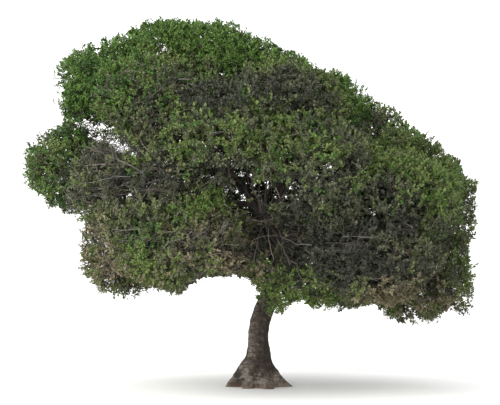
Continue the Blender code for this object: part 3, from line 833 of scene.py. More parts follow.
@dataclass
class Sheaf:
    """Many small meshes gathered as arrays, to be joined as one piece."""

    points: list[Array] = field(default_factory=list)
    faces: list[Array] = field(default_factory=list)
    slots: list[Array] = field(default_factory=list)
    count: int = 0
    upright: float = 0.8

    def add_points(self, points: Array) -> int:
        """Adds vertices, and says which number the first of them has."""
        first = self.count
        self.points.append(points.reshape(-1, 3))
        self.count += len(self.points[-1])
        return first

    def add_faces(self, faces: Array, slots: Array) -> None:
        """Adds faces, as the vertices of each, three or four of them, and the slot of each."""
        self.faces.append(faces.reshape(-1, faces.shape[-1]))
        self.slots.append(slots.reshape(-1))

    @staticmethod
    def walls(steps: int, sides: int) -> Array:
        """The corners of the faces round a tube of rings, counted from its first point."""
        side = np.arange(sides)
        after = (side + 1) % sides
        low = (np.arange(steps - 1) * sides)[:, None]
        return joined(low + side, low + after, low + after + sides, low + side + sides)

    def add_tubes(self, paths: Array, radii: Array, sides: int, slots: Array) -> None:
        """Adds tubes that end in a point, each along its own path.

        Args:
            paths: The points along each tube, as (tubes, points, 3).
            radii: The radius at each point but the last, as (tubes, points - 1).
            sides: How many sides they have.
            slots: The material slot of each tube.
        """
        tubes, steps = radii.shape
        if not tubes:
            return
        along = unit(np.gradient(paths, axis=1))
        lead = unit(paths[:, -1] - paths[:, 0])
        aside = unit(np.cross(lead, np.where(np.abs(lead[:, 2:]) < self.upright, UP, ACROSS)))
        across = unit(aside[:, None] - along * dots(aside[:, None], along)[..., None])
        turns = 2 * math.pi * np.arange(sides) / sides
        ring = spokes(across, np.cross(along, across), turns)[:, :-1]
        rings = paths[:, :-1, None] + ring * radii[..., None, None]
        points = np.concatenate((rings.reshape(tubes, steps * sides, 3), paths[:, -1:]), axis=1)
        first = self.add_points(points) + np.arange(tubes) * (steps * sides + 1)
        if steps > 1:
            walls = first[:, None, None, None] + self.walls(steps, sides)
            self.add_faces(walls, np.repeat(slots, (steps - 1) * sides))
        last = first[:, None] + (steps - 1) * sides
        side = np.arange(sides)
        tips = joined(last + side, last + (side + 1) % sides, last + sides)
        self.add_faces(tips, np.repeat(slots, sides))

    def triangles(self) -> int:
        """How many triangles there are so far."""
        return sum(len(faces) * (faces.shape[1] - 2) for faces in self.faces)

    def piece(self, name: str, materials: Sequence[bpy.types.Material], smooth: bool) -> bpy.types.Object:
        """Joins everything as one object.

        Args:
            name: The object's name.
            materials: Its material slots.
            smooth: Whether it is shaded smooth.

        Returns:
            The object, which is in the scene.
        """
        points = np.concatenate(self.points)
        sizes = np.concatenate([np.full(len(faces), faces.shape[1]) for faces in self.faces])
        corners = np.concatenate([faces.ravel() for faces in self.faces])
        mesh = bpy.data.meshes.new(name)
        mesh.vertices.add(len(points))
        mesh.vertices.foreach_set("co", points.ravel().astype(np.float32))
        mesh.loops.add(len(corners))
        mesh.loops.foreach_set("vertex_index", corners.astype(np.int32))
        mesh.polygons.add(len(sizes))
        mesh.polygons.foreach_set("loop_start", (np.cumsum(sizes) - sizes).astype(np.int32))
        mesh.polygons.foreach_set("material_index", np.concatenate(self.slots).astype(np.int32))
        mesh.polygons.foreach_set("use_smooth", np.full(len(sizes), smooth))
        mesh.update(calc_edges=True)
        for material in materials:
            mesh.materials.append(material)
        made = bpy.data.objects.new(name, mesh)
        bpy.context.scene.collection.objects.link(made)
        return made


# The bark.


@dataclass(frozen=True)
class Dent:
    """A hollow in the trunk, or a knob where its depth is negative."""

    bearing: float
    height: float
    size: float
    depth: float
    rim: float = 0.0
    rim_at: float = 1.5
    rim_width: float = 0.5
    squash: float = 0.8

    def raised(self, points: Array, bearings: Array, reach: Array) -> Array:
        """How far it raises the skin at each point, by the point's bearing and reach from the axis."""
        around = np.radians(off_bearing(bearings, self.bearing)) * reach
        away = np.hypot(around, (points[:, 2] - self.height) * self.squash) / self.size
        return -self.depth * hump(away) + self.rim * hump((away - self.rim_at) / self.rim_width)


@dataclass(frozen=True)
class Lumps:
    """Lumps of one size in the bark: their height, and the waves that they are made of."""

    height: float
    seed: int
    waves: int
    length: float
    stretch: Place = (1.0, 1.0, 1.0)

    def at(self, points: Array) -> Array:
        """How far they raise the skin at each point."""
        return self.height * Ripple(self.seed, self.waves, self.length, self.stretch).at(points)


@dataclass
class BarkSkin:
    """The trunk and boughs as one skin, with the bark's relief.

    A flute has a height, a number round the trunk and a twist for each metre. A wander has a
    size, a turn for each metre and a start.
    """

    plan: CrownPlan
    voxel: float = 0.02
    relax_share: float = 0.5
    relax_rounds: int = 3
    trunk_sides: int = 64
    trunk_rings: int = 70
    ring_crowding: float = 1.5
    dome_width: float = 0.6
    dome_height: float = 0.07
    below: float = 0.06
    bough_sides: int = 14
    ring_step: float = 0.05
    collar: float = 0.35
    collar_run: float = 0.1
    sway: float = 0.016
    sway_waves: int = 5
    sway_length: float = 0.7
    sway_shifts: Place = (0.0, 5.0, 11.0)
    sway_from: float = 0.4
    sway_until: float = 0.3
    aslant: Place = (0.31, 0.47, 0.83)
    trunk_margin: float = 0.05
    trunk_fade: float = 0.04
    fork_fade: float = 0.3
    bark_cut: float = 0.01
    flutes: tuple[Place, ...] = ((0.0045, 5, 0.0), (0.0035, 9, -1.6))
    wanders: tuple[Place, ...] = ((0.9, 1.7, 0.0), (0.5, 3.9, 1.0))
    coarse: Lumps = Lumps(0.005, 11, 16, 0.2, (1.0, 1.0, 1.7))
    fine: Lumps = Lumps(0.0022, 12, 22, 0.07, (1.0, 1.0, 1.5))
    fine_share: float = 0.8
    bough_lumps: Lumps = Lumps(0.0015, 13, 16, 0.12)
    still_below: float = 0.02
    still_share: float = 0.3
    relief_middle: float = 0.6
    relief_range: float = 0.045
    # Painted shade on the right side, away from the lamps, and aloft under the crown; also a darker belt
    # and a paler foot.
    dark_side: float = -16.0
    belt: float = 0.45
    belt_height: float = 0.46
    belt_width: float = 0.09
    dark_aloft: float = 0.32
    aloft_from: float = 0.7
    aloft_run: float = 0.5
    pale_foot: float = 0.9
    foot_height: float = 0.36
    foot_run: float = 0.2
    swellings: tuple[Dent, ...] = (
        Dent(180, 0.29, 0.16, -0.044),
        Dent(0, 0.26, 0.13, -0.063),
        Dent(0, 0.6, 0.16, -0.045),
        Dent(180, 1.29, 0.23, -0.034),
    )
    dents: tuple[Dent, ...] = (
        Dent(249, 0.105, 0.036, 0.012, 0.012),
        Dent(258, 0.06, 0.028, 0.014, 0.01),
        Dent(240, 0.12, 0.022, 0.016, 0.006),
        Dent(289, 0.07, 0.06, 0.026, 0.004),
        Dent(197, 0.075, 0.06, 0.034),
        Dent(184, 0.265, 0.036, 0.045, 0.006),
        Dent(192, 0.215, 0.038, 0.05, 0.006),
        Dent(205, 0.15, 0.03, 0.025, 0.006),
        Dent(268, 0.48, 0.07, 0.012),
        Dent(255, 0.62, 0.05, -0.012),
        Dent(283, 0.79, 0.045, 0.016, 0.008),
        Dent(345, 0.98, 0.045, -0.026),
        Dent(272, 1.16, 0.05, 0.014, 0.008),
        Dent(238, 1.02, 0.07, -0.01),
        Dent(100, 0.7, 0.06, 0.02, 0.01),
        Dent(60, 1.25, 0.055, -0.02),
    )

    def build(self) -> bpy.types.Object:
        """Joins the limbs in one smooth skin, then raises the relief on it.

        Returns:
            The finished object.
        """
        rough = Sheaf()
        self._add_trunk(rough)
        for limb in self.plan.limbs.values():
            if limb.name != "trunk":
                self._add_bough(rough, limb)
        skin = rough.piece("limbs", [], smooth=True)
        remesh = skin.modifiers.new("skin", "REMESH")
        remesh.mode = "VOXEL"
        remesh.voxel_size = self.voxel
        remesh.use_smooth_shade = True
        relax = skin.modifiers.new("relax", "SMOOTH")
        relax.factor = self.relax_share
        relax.iterations = self.relax_rounds
        graph = bpy.context.evaluated_depsgraph_get()
        mesh = bpy.data.meshes.new_from_object(skin.evaluated_get(graph))
        skin.modifiers.clear()
        raw = skin.data
        skin.data = mesh
        bpy.data.meshes.remove(raw)
        mesh.name = "limbs"
        self._raise_relief(mesh)
        self._cut_flat(mesh)
        mesh.materials.append(BarkFinish().material())
        return skin

    def _add_trunk(self, rough: Sheaf) -> None:
        """Adds the trunk's plain shape, from a little below the ground to its domed top."""
        trunk = self.plan.trunk
        risen = np.linspace(0, 1, self.trunk_rings) ** self.ring_crowding
        heights = np.concatenate(([-self.below], trunk.fork_height * risen))
        bearings = 360 * np.arange(self.trunk_sides) / self.trunk_sides
        radii = trunk.radius(heights[:, None], bearings)
        middles = trunk.middle(np.maximum(heights, 0.0))
        middles[:, 2] = heights
        turns = np.radians(bearings)
        around = np.stack((np.cos(turns), np.sin(turns), np.zeros(self.trunk_sides)), axis=-1)
        rings = middles[:, None] + around * radii[..., None]
        dome = middles[-1] + (rings[-1] - middles[-1]) * self.dome_width + UP * self.dome_height
        self._add_lofted(rough, np.concatenate((rings, dome[None])))

    def _add_bough(self, rough: Sheaf, limb: Limb) -> None:
        """Adds a bough's plain shape, with a collar where it leaves its parent."""
        points, radii = limb.smoothed(self.ring_step)
        runs = np.concatenate(([0], np.linalg.norm(np.diff(points, axis=0), axis=1).cumsum()))
        parent = self.plan.limbs[next(mass.springs_from for mass in MASSES if mass.name == limb.name)]
        out = np.maximum(parent.clearance(points), 0.0)
        radii = radii * (1 + self.collar * np.exp(-out / self.collar_run))
        sway = Ripple(len(limb.points) * 31 + len(limb.name), self.sway_waves, self.sway_length)
        fade = rise(runs, 0.0, self.sway_from) * rise(runs[-1] - runs, 0.0, self.sway_until)
        offs = np.stack([sway.at(points + shift) for shift in self.sway_shifts], axis=-1)
        points = points + offs * self.sway * fade[:, None]
        along = unit(np.gradient(points, axis=0))
        side = unit(np.cross(along, along[0] + np.array(self.aslant)))
        turns = 2 * math.pi * np.arange(self.bough_sides) / self.bough_sides
        ring = spokes(side, np.cross(along, side), turns)
        self._add_lofted(rough, points[:, None] + ring * radii[:, None, None])

    @staticmethod
    def _add_lofted(rough: Sheaf, rings: Array) -> None:
        """Adds a closed tube through rings of points."""
        steps, sides = rings.shape[:2]
        ends = np.stack((rings[0].mean(axis=0), rings[-1].mean(axis=0)))
        start = rough.add_points(np.concatenate((rings.reshape(-1, 3), ends)))
        walls = Sheaf.walls(steps, sides) + start
        rough.add_faces(walls, np.zeros(walls.shape[:2], dtype=int))
        side = start + np.arange(sides)
        after = start + (np.arange(sides) + 1) % sides
        top, hub = (steps - 1) * sides, start + steps * sides
        for corners in ((after, side, hub), (side + top, after + top, hub + 1)):
            rough.add_faces(joined(*corners), np.zeros(sides, dtype=int))

    @staticmethod
    def _read(rows: bpy.types.bpy_prop_collection, name: str) -> Array:
        """One vector for each row of a mesh's data."""
        found = np.empty(len(rows) * 3)
        rows.foreach_get(name, found)
        return found.reshape(-1, 3)

    @staticmethod
    def _keep(mesh: bpy.types.Mesh, name: str, values: Array) -> None:
        """Keeps a value for each vertex, for the finish to use."""
        kept = mesh.attributes.new(name, "FLOAT", "POINT")
        kept.data.foreach_set("value", values.astype(np.float32))

    def _raise_relief(self, mesh: bpy.types.Mesh) -> None:
        """Moves the skin in and out by the bark's relief, and keeps its height and the trunk's painted
        shade for the finish.
        """
        trunk = self.plan.trunk
        points = self._read(mesh.vertices, "co")
        normals = self._read(mesh.vertex_normals, "vector")
        heights = np.clip(points[:, 2], 0.0, None)
        off = points[:, :2] - trunk.middle(heights)[:, :2]
        bearings = np.degrees(np.arctan2(off[:, 1], off[:, 0])) % 360
        reach = np.linalg.norm(off, axis=1)
        edge = trunk.radius(heights, bearings) + self.trunk_margin
        on_trunk = rise(edge - reach, 0.0, self.trunk_fade)
        on_trunk *= rise(trunk.fork_height - points[:, 2], 0.0, self.fork_fade)

        turn = np.radians(bearings)
        wander = sum(size * np.sin(rate * heights + start) for size, rate, start in self.wanders)
        flutes = sum(
            height * np.sin(count * turn + twist * heights + wander) for height, count, twist in self.flutes
        )
        relief = on_trunk * (flutes + self.coarse.at(points) - self.bark_cut)
        relief = relief + self.bough_lumps.at(points) + self.fine_share * self.fine.at(points)
        dented, swollen = (
            sum(dent.raised(points, bearings, reach) for dent in dents) * on_trunk
            for dents in (self.dents, self.swellings)
        )
        relief += dented + swollen
        moved = self.still_share + (1 - self.still_share) * rise(points[:, 2], 0.0, self.still_below)
        points += normals * (relief * moved)[:, None]
        mesh.vertices.foreach_set("co", points.ravel())
        # The relief without the broad swellings is kept for the finish, which paints shade in the folds and
        # dents with it.
        level = relief - swollen + on_trunk * self.bark_cut
        # The painted shade on the right side and aloft, with the pale foot, is kept for the finish.
        self._keep(mesh, "weathered", self._shading_and_paling(points[:, 2], bearings) * on_trunk)
        self._keep(mesh, "relief", np.clip(self.relief_middle + level / self.relief_range, 0, 1))
        mesh.update()

    def _shading_and_paling(self, heights: Array, bearings: Array) -> Array:
        """How pale the trunk is: painted shade on its right side and aloft under the crown, a darker belt,
        pale at its foot.
        """
        side = 0.5 - 0.5 * np.cos(np.radians(bearings - self.dark_side))
        side -= self.belt * hump((heights - self.belt_height) / self.belt_width)
        side -= self.dark_aloft * rise(heights, self.aloft_from, self.aloft_run)
        return np.maximum(side, self.pale_foot * rise(self.foot_height - heights, 0.0, self.foot_run))

    @staticmethod
    def _cut_flat(mesh: bpy.types.Mesh) -> None:
        """Cuts the skin off flat at the ground."""
        bm = bmesh.new()
        bm.from_mesh(mesh)
        geometry = bm.verts[:] + bm.edges[:] + bm.faces[:]
        cut = bmesh.ops.bisect_plane(
            bm, geom=geometry, plane_co=(0, 0, 0), plane_no=(0, 0, -1), clear_outer=True
        )
        rim = [item for item in cut["geom_cut"] if isinstance(item, bmesh.types.BMEdge)]
        bmesh.ops.edgenet_fill(bm, edges=rim)
        bm.to_mesh(mesh)
        bm.free()


# The foliage.


@dataclass(frozen=True)
class Spot:
    """An oval place in the front view, in pixels from its left and top."""

    across: float
    down: float
    half_width: float
    half_height: float

    def away(self, pixels: Array) -> Array:
        """How far each pixel is from its middle: 1 is its edge."""
        across = (pixels[:, 0] - self.across) / self.half_width
        return np.hypot(across, (pixels[:, 1] - self.down) / self.half_height)


@dataclass(frozen=True)
class Gap(Spot):
    """A spot where no leaves grow.

    It goes right through the crown, or from the front as far as a distance behind the trunk.
    A bare one has no twigs either. Wisps of leaves cross some.
    """

    as_far_as: float = 9.0
    bare: bool = False
    wisps: bool = False

    def covers(self, points: Array, pixels: Array) -> Array:
        """Whether it covers each point, which is seen at the given pixels."""
        return (self.away(pixels) <= 1) & (points[:, 1] <= self.as_far_as)


@dataclass(frozen=True)
class FrontView:
    """The camera of the photograph, which looks up at the tree a little."""

    distance: float = 18.0
    eye_height: float = 1.6
    metres_per_pixel: float = 0.018
    width: int = 500
    height: int = 405
    trunk_at: float = 258.8
    ground_at: float = 385.0
    sensor: float = 36.0

    def place(self, across: float, down: float, depth: float) -> Array:
        """The point that is seen at a pixel, at a distance behind the trunk's middle."""
        away = depth + self.distance
        sine, cosine = math.sin(self.tilt), math.cos(self.tilt)
        slope = (self.height / 2 - down) * self.metres_per_pixel / self.distance
        above = away * (sine + slope * cosine) / (cosine - slope * sine)
        ahead = away * cosine + above * sine
        side = (across - self.width / 2) * self.metres_per_pixel / self.distance * ahead
        return np.array((self.aside + side, depth, self.eye_height + above))

    @property
    def aside(self) -> float:
        """How far the camera stands to the right of the trunk."""
        return (self.width / 2 - self.trunk_at) * self.metres_per_pixel

    @property
    def tilt(self) -> float:
        """How far the camera looks up, in radians."""
        below = (self.ground_at - self.height / 2) * self.metres_per_pixel - self.eye_height
        return math.atan(below / self.distance)

    @property
    def lens(self) -> float:
        """The focal length in millimetres, as the sensor's width is."""
        return self.sensor * self.distance / (self.width * self.metres_per_pixel)

    def pixels(self, points: Array) -> Array:
        """Where each point is in the picture, in pixels from its left and top."""
        off = points - np.array((self.aside, -self.distance, self.eye_height))
        sine, cosine = math.sin(self.tilt), math.cos(self.tilt)
        ahead = off[:, 1] * cosine + off[:, 2] * sine
        above = off[:, 2] * cosine - off[:, 1] * sine
        scale = self.distance / self.metres_per_pixel / ahead
        return np.stack((self.width / 2 + off[:, 0] * scale, self.height / 2 - above * scale), axis=-1)


GAPS = (
    Gap(101, 130, 16, 8, wisps=True), Gap(113, 139, 13, 6, wisps=True), Gap(95, 138, 7, 4, wisps=True),
    Gap(132, 152, 14, 4, wisps=True), Gap(122, 146, 9, 4, wisps=True), Gap(55, 119, 9, 8, bare=True),
    Gap(74, 131, 3, 3), Gap(83, 124, 8, 4, wisps=True), Gap(157, 124, 5, 3), Gap(180, 138, 4, 5),
    Gap(206, 145, 1.8, 9), Gap(215, 146, 1.6, 4), Gap(215, 164, 1.6, 2.5), Gap(221, 162, 1.3, 2.5),
    Gap(225, 177, 1.5, 2.5), Gap(243, 175, 2.4, 3.5), Gap(253, 178, 1.2, 4), Gap(262, 147, 2.0, 3.0),
    Gap(268, 186, 2.2, 3), Gap(274, 195, 1.5, 5), Gap(283, 194, 1.8, 4), Gap(298, 204, 2, 1.5),
    Gap(306, 204, 2, 2), Gap(325, 204, 3, 2), Gap(309, 104, 3, 3), Gap(101, 86, 2, 2), Gap(137, 95, 2, 3),
    Gap(372, 214, 7, 1.1), Gap(386, 212, 4, 1.4), Gap(328, 170, 4, 1.2), Gap(213, 298, 30, 22, bare=True),
    Gap(236, 292, 19, 17, bare=True), Gap(247, 303, 10, 10, bare=True), Gap(428, 115, 27, 16, bare=True),
    Gap(464, 144, 22, 14, bare=True), Gap(481, 166, 20, 13, bare=True), Gap(294, 37, 23, 13, bare=True),
    Gap(28, 207, 17, 17, bare=True), Gap(68, 256, 10, 22, bare=True), Gap(478, 250, 9, 13, bare=True),
    Gap(300, 316, 15, 13, bare=True), Gap(368, 314, 18, 9, bare=True), Gap(450, 318, 9, 8, bare=True),
    Gap(243, 183, 9, 15, -0.8, bare=True), Gap(262, 193, 9, 14, -0.8, bare=True),
    Gap(280, 193, 10, 13, -0.8, bare=True), Gap(230, 170, 5, 10, -1.1, bare=True),
    Gap(297, 186, 5, 12, -0.9, bare=True), Gap(252, 208, 14, 7, -0.7, bare=True),
    Gap(272, 238, 9, 12, -0.5), Gap(213, 172, 5, 6, -1.2),
)


@dataclass(frozen=True)
class Patch(Spot):
    """A spot on the front of the crown, and what is added to its clumps there."""

    light: float
    leafiness: float = 0.0
    bareness: float = 0.0
    greyness: float = 0.0


# Set one by one, from looking at the photograph and from how much lighter or darker than it the
# areas of a render measured. Where patches overlap, they add up.
# A patch's light makes the leaf tints there lighter or darker: painted light and painted shade.
PATCHES = (
    Patch(213, 103, 30, 10, -0.26), Patch(190, 128, 30, 15, 0.14, 0.1),
    Patch(262, 108, 20, 10, 0.24, 0.1), Patch(250, 136, 16, 14, 0.1), Patch(296, 135, 20, 14, 0.22, 0.1),
    Patch(318, 146, 14, 16, 0.16, 0.1), Patch(277, 168, 20, 9, 0.12), Patch(350, 100, 14, 9, 0.24),
    Patch(376, 153, 22, 12, 0.22), Patch(412, 165, 24, 16, 0.22),
    Patch(440, 185, 14, 22, 0.12, 0, 0, -0.3), Patch(338, 180, 16, 9, -0.08),
    Patch(192, 152, 22, 9, -0.14), Patch(270, 155, 26, 8, -0.12), Patch(206, 176, 16, 10, -0.18),
    Patch(345, 238, 62, 40, -0.42, 0.1, 0.2), Patch(400, 222, 26, 14, -0.16, 0, 0.3),
    Patch(445, 225, 20, 14, -0.12), Patch(146, 224, 28, 13, -0.22), Patch(420, 175, 18, 12, 0.1),
    Patch(236, 269, 30, 10, 0.46, -0.2, 2.2, 0.6), Patch(108, 274, 24, 14, 0.18, 0, 1.2, 0.5),
    Patch(92, 230, 12, 10, 0.18, 0, 1.2, 0.5), Patch(120, 252, 26, 12, 0.06, 0, 0.4, 0.2),
    Patch(420, 297, 48, 11, 0.38, 0, 1.0, 0.5), Patch(380, 294, 30, 8, 0.02, 0, 0.3, 0.5),
    Patch(203, 201, 16, 10, 0.24, 0.4, 0, -0.4), Patch(188, 218, 14, 10, 0.24, 0.4, 0, -0.4),
    Patch(147, 236, 14, 20, 0.1, 0.15, 0, -0.4), Patch(134, 253, 14, 16, 0.1, 0.1, 0, -0.4),
    Patch(160, 275, 9, 12, 0.1, 0.1), Patch(106, 286, 11, 8, 0.2, 0.2, 0, -0.4),
    Patch(90, 219, 12, 8, 0.1, 0.2, 0, -0.3), Patch(193, 180, 8, 6, 0.18, 0.5, 0, -0.4),
    Patch(158, 191, 8, 4, 0.22, 0.6, 0, -0.5), Patch(85, 193, 7, 5, 0.2, 0.6, 0, -0.5),
    Patch(130, 168, 14, 6, 0.16, 0.5, 0, -0.4), Patch(130, 140, 13, 6, 0.1, 0.4),
    Patch(62, 142, 22, 12, 0.2, 0.3, 0, -0.5), Patch(36, 180, 10, 26, 0.14, 0.3, 0, -0.3),
    Patch(50, 190, 16, 12, 0.08, 0.2, 0, -0.3), Patch(300, 290, 46, 16, 0.38, 0.2, 0, -0.1),
    Patch(345, 290, 24, 14, 0.22, 0.1, 0, -0.1), Patch(410, 273, 13, 13, 0.08, 0.2, 0, -0.2),
    Patch(462, 275, 10, 26, 0.14, 0.1, 0, -0.2), Patch(85, 75, 26, 30, 0.06, 0, 0, -0.1),
    Patch(190, 40, 76, 20, 0.28), Patch(194, 58, 36, 12, 0.22), Patch(355, 98, 20, 24, 0.16),
    Patch(145, 150, 22, 10, 0.14), Patch(232, 200, 20, 12, 0.32), Patch(190, 202, 18, 8, 0.06),
    Patch(420, 190, 20, 22, 0.18), Patch(310, 200, 26, 14, -0.38), Patch(340, 272, 52, 10, -0.34),
    Patch(430, 272, 24, 12, -0.36), Patch(48, 178, 22, 14, 0.08), Patch(103, 132, 24, 14, 0.05, 0, 2.0),
    Patch(290, 92, 32, 19, -0.44, -0.1, 0.4, 0.15), Patch(308, 106, 22, 13, -0.42, -0.1, 0.5),
    Patch(150, 88, 12, 16, -0.26, -0.2, 0.3, 0.15), Patch(200, 84, 30, 9, -0.16, -0.1, 0.3),
    Patch(208, 104, 34, 12, -0.64), Patch(225, 82, 44, 10, -0.14), Patch(275, 156, 90, 16, -0.09),
    Patch(310, 130, 20, 10, -0.32), Patch(300, 272, 18, 10, -0.26), Patch(446, 226, 16, 16, -0.2),
    Patch(355, 272, 34, 9, -0.2), Patch(150, 226, 16, 9, -0.1), Patch(396, 130, 16, 10, 0.1),
    Patch(205, 32, 46, 12, 0.2), Patch(166, 32, 22, 9, 0.14), Patch(228, 32, 14, 9, 0.1),
    Patch(156, 56, 14, 11, -0.2), Patch(230, 56, 34, 13, 0.22), Patch(122, 84, 34, 26, 0, 0, 0, -0.45),
    Patch(424, 202, 14, 9, 0.25), Patch(466, 250, 10, 12, 0.3), Patch(136, 292, 12, 8, 0.3, 0, 0, 0.5),
    Patch(84, 176, 14, 12, -0.1), Patch(252, 266, 12, 16, 0.26, 0, 0, 0.2),
    Patch(105, 90, 12, 12, -0.16, -0.2, 0.3, 0.2), Patch(150, 122, 18, 22, -0.22, -0.2, 0.6, 0.15),
    Patch(245, 85, 22, 10, -0.18, 0, 0.3), Patch(240, 120, 8, 16, -0.22, -0.2, 0.3, 0.1),
    Patch(365, 128, 20, 10, -0.12, 0, 0.6, 0.15), Patch(353, 155, 11, 20, -0.5, -0.2, 0.3, 0.15),
    Patch(392, 192, 24, 12, -0.34, -0.2, 0.8, 0.15), Patch(320, 180, 9, 10, -0.2, -0.2, 0.3, 0.1),
    Patch(222, 172, 26, 10, -0.34, -0.4, 0.5, 0.1), Patch(262, 195, 40, 22, 0, -0.3, -0.4, 0.15),
    Patch(250, 240, 50, 26, -0.04, -0.45, 2.2, 0.4), Patch(300, 235, 30, 26, -0.06, -0.4, 1.0, 0.1),
    Patch(385, 245, 60, 22, -0.14, -0.1, 1.6, 0.15), Patch(395, 280, 50, 18, -0.1, 0, 0.8, 0.2),
    Patch(440, 220, 30, 40, 0.03, 0, 0.5), Patch(385, 165, 40, 30, 0.02, 0, 0.3),
    Patch(385, 238, 44, 9, 0.06, 0, 1.2), Patch(345, 268, 46, 10, -0.26, -0.05, 0.6, 0.1),
    Patch(190, 250, 40, 24, 0, -0.25, 2.0, 0.2), Patch(100, 262, 20, 24, 0.16, -0.2, 1.8, 0.4),
    Patch(120, 245, 40, 40, 0.1, 0, 0.6), Patch(104, 164, 24, 14, -0.14, -0.5, 3.4, 0.1),
    Patch(150, 184, 46, 16, -0.16, -0.5, 3.2, 0.1), Patch(110, 205, 40, 10, -0.1, -0.4, 2.4, 0.1),
    Patch(95, 231, 11, 8, 0.6, 0.4, 0.6, 1.0), Patch(114, 268, 18, 14, 0.12, 0.2, 0.4, 0.3),
    Patch(150, 278, 14, 7, 0.1, 0.2, 0.4, 0.3), Patch(392, 292, 26, 8, 0.1, 0, 0.4, 0.3),
    Patch(440, 298, 22, 10, 0.22, 0, 0.2, 0.3), Patch(88, 248, 10, 20, 0, 0.5),
    Patch(112, 284, 14, 9, 0, 0.5), Patch(132, 200, 14, 9, -0.14), Patch(300, 272, 15, 9, -0.4),
    Patch(360, 272, 26, 9, -0.22), Patch(216, 104, 26, 10, -0.22), Patch(250, 82, 14, 9, -0.18),
    Patch(312, 128, 20, 9, -0.16), Patch(168, 32, 18, 9, 0.16), Patch(238, 34, 18, 8, 0.16),
    Patch(150, 56, 18, 10, -0.12), Patch(228, 57, 26, 9, 0.14),
)


@dataclass(frozen=True)
class Stem:
    """A slender stem that rises inside the crown: pixels, and how far behind the trunk."""

    foot: Place
    knee: Place
    top: Place
    radius: float
    tint: TwigTint = TwigTint.BROWN


STEMS = (
    Stem((284, 266, 0.0), (273, 247, -0.45), (262, 213, -0.75), 0.04),
    Stem((262, 216, -0.74), (240, 200, -0.9), (233, 160, -1.2), 0.022, TwigTint.SHADED),
    Stem((262, 216, -0.74), (252, 190, -0.9), (250, 140, -1.1), 0.034),
    Stem((263, 218, -0.74), (260, 185, -0.9), (264, 150, -1.2), 0.022, TwigTint.SHADED),
    Stem((262, 216, -0.74), (246, 196, -1.0), (241, 165, -1.3), 0.018, TwigTint.SHADED),
    Stem((264, 214, -0.74), (266, 190, -1.0), (268, 160, -1.4), 0.02, TwigTint.SHADED),
    Stem((263, 216, -0.74), (270, 190, -0.9), (276, 150, -1.1), 0.026, TwigTint.SHADED),
    Stem((265, 218, -0.74), (282, 192, -1.0), (292, 168, -1.4), 0.018, TwigTint.SHADED),
    Stem((264, 220, -0.7), (276, 195, -0.8), (287, 160, -1.1), 0.024, TwigTint.SHADED),
    Stem((266, 226, -0.65), (286, 198, -0.8), (298, 158, -1.2), 0.026, TwigTint.SHADED),
    Stem((284, 255, -0.2), (304, 215, -0.6), (318, 165, -1.2), 0.026, TwigTint.SHADED),
    Stem((280, 250, -0.2), (236, 222, -0.8), (214, 176, -1.3), 0.024, TwigTint.SHADED),
    Stem((233, 196, -0.95), (219, 172, -1.2), (206, 140, -1.5), 0.016, TwigTint.SHADED),
    Stem((252, 190, -0.9), (244, 160, -1.1), (236, 128, -1.4), 0.015, TwigTint.SHADED),
    Stem((288, 258, -0.1), (306, 266, -0.5), (338, 268, -1.1), 0.03, TwigTint.SHADED),
    Stem((290, 250, -0.2), (330, 232, -0.9), (378, 244, -1.8), 0.02),
    Stem((300, 246, -0.4), (350, 244, -1.3), (410, 262, -2.2), 0.012),
    Stem((284, 262, -0.1), (250, 246, -0.7), (212, 258, -1.5), 0.018, TwigTint.SHADED),
    Stem((276, 250, -0.2), (240, 232, -0.9), (196, 240, -1.8), 0.016),
    Stem((263, 216, -0.8), (252, 226, -1.5), (238, 250, -2.3), 0.013),
    Stem((263, 216, -0.8), (258, 232, -1.5), (254, 262, -2.3), 0.012),
    Stem((264, 217, -0.8), (268, 234, -1.5), (274, 262, -2.3), 0.013, TwigTint.PALE),
    Stem((264, 217, -0.8), (278, 230, -1.5), (297, 246, -2.3), 0.012),
    Stem((264, 216, -0.8), (283, 222, -1.5), (312, 226, -2.2), 0.011),
    Stem((263, 215, -0.8), (248, 220, -1.5), (222, 230, -2.3), 0.012, TwigTint.PALE),
    Stem((263, 214, -0.8), (246, 212, -1.4), (218, 208, -2.1), 0.01),
    Stem((266, 220, -0.8), (280, 240, -1.5), (290, 268, -2.2), 0.012),
    Stem((262, 217, -0.8), (246, 236, -1.5), (222, 262, -2.3), 0.012),
    Stem((284, 250, -0.9), (296, 262, -1.6), (304, 284, -2.2), 0.012),
    Stem((300, 240, -0.9), (330, 242, -1.8), (362, 256, -2.5), 0.011, TwigTint.SHADED),
    Stem((300, 246, -0.9), (336, 256, -1.8), (372, 274, -2.4), 0.011, TwigTint.SHADED),
)


@dataclass(frozen=True)
class Layer:
    """One depth of the foliage: how its clumps are spaced and what they carry."""

    shallow: float
    deep: float
    tips_from: float
    spacing: float
    twigs: int
    twig_reach: Pair
    sprays: int
    spray_reach: Pair
    leaves: int
    leaf_length: float
    leaf_width: float
    # Painted shade: taken off the tone of its sprays' tints, so a gloom below 0 lightens them.
    gloom: float
    hidden_share: float
    fans: float
    outermost: bool = False


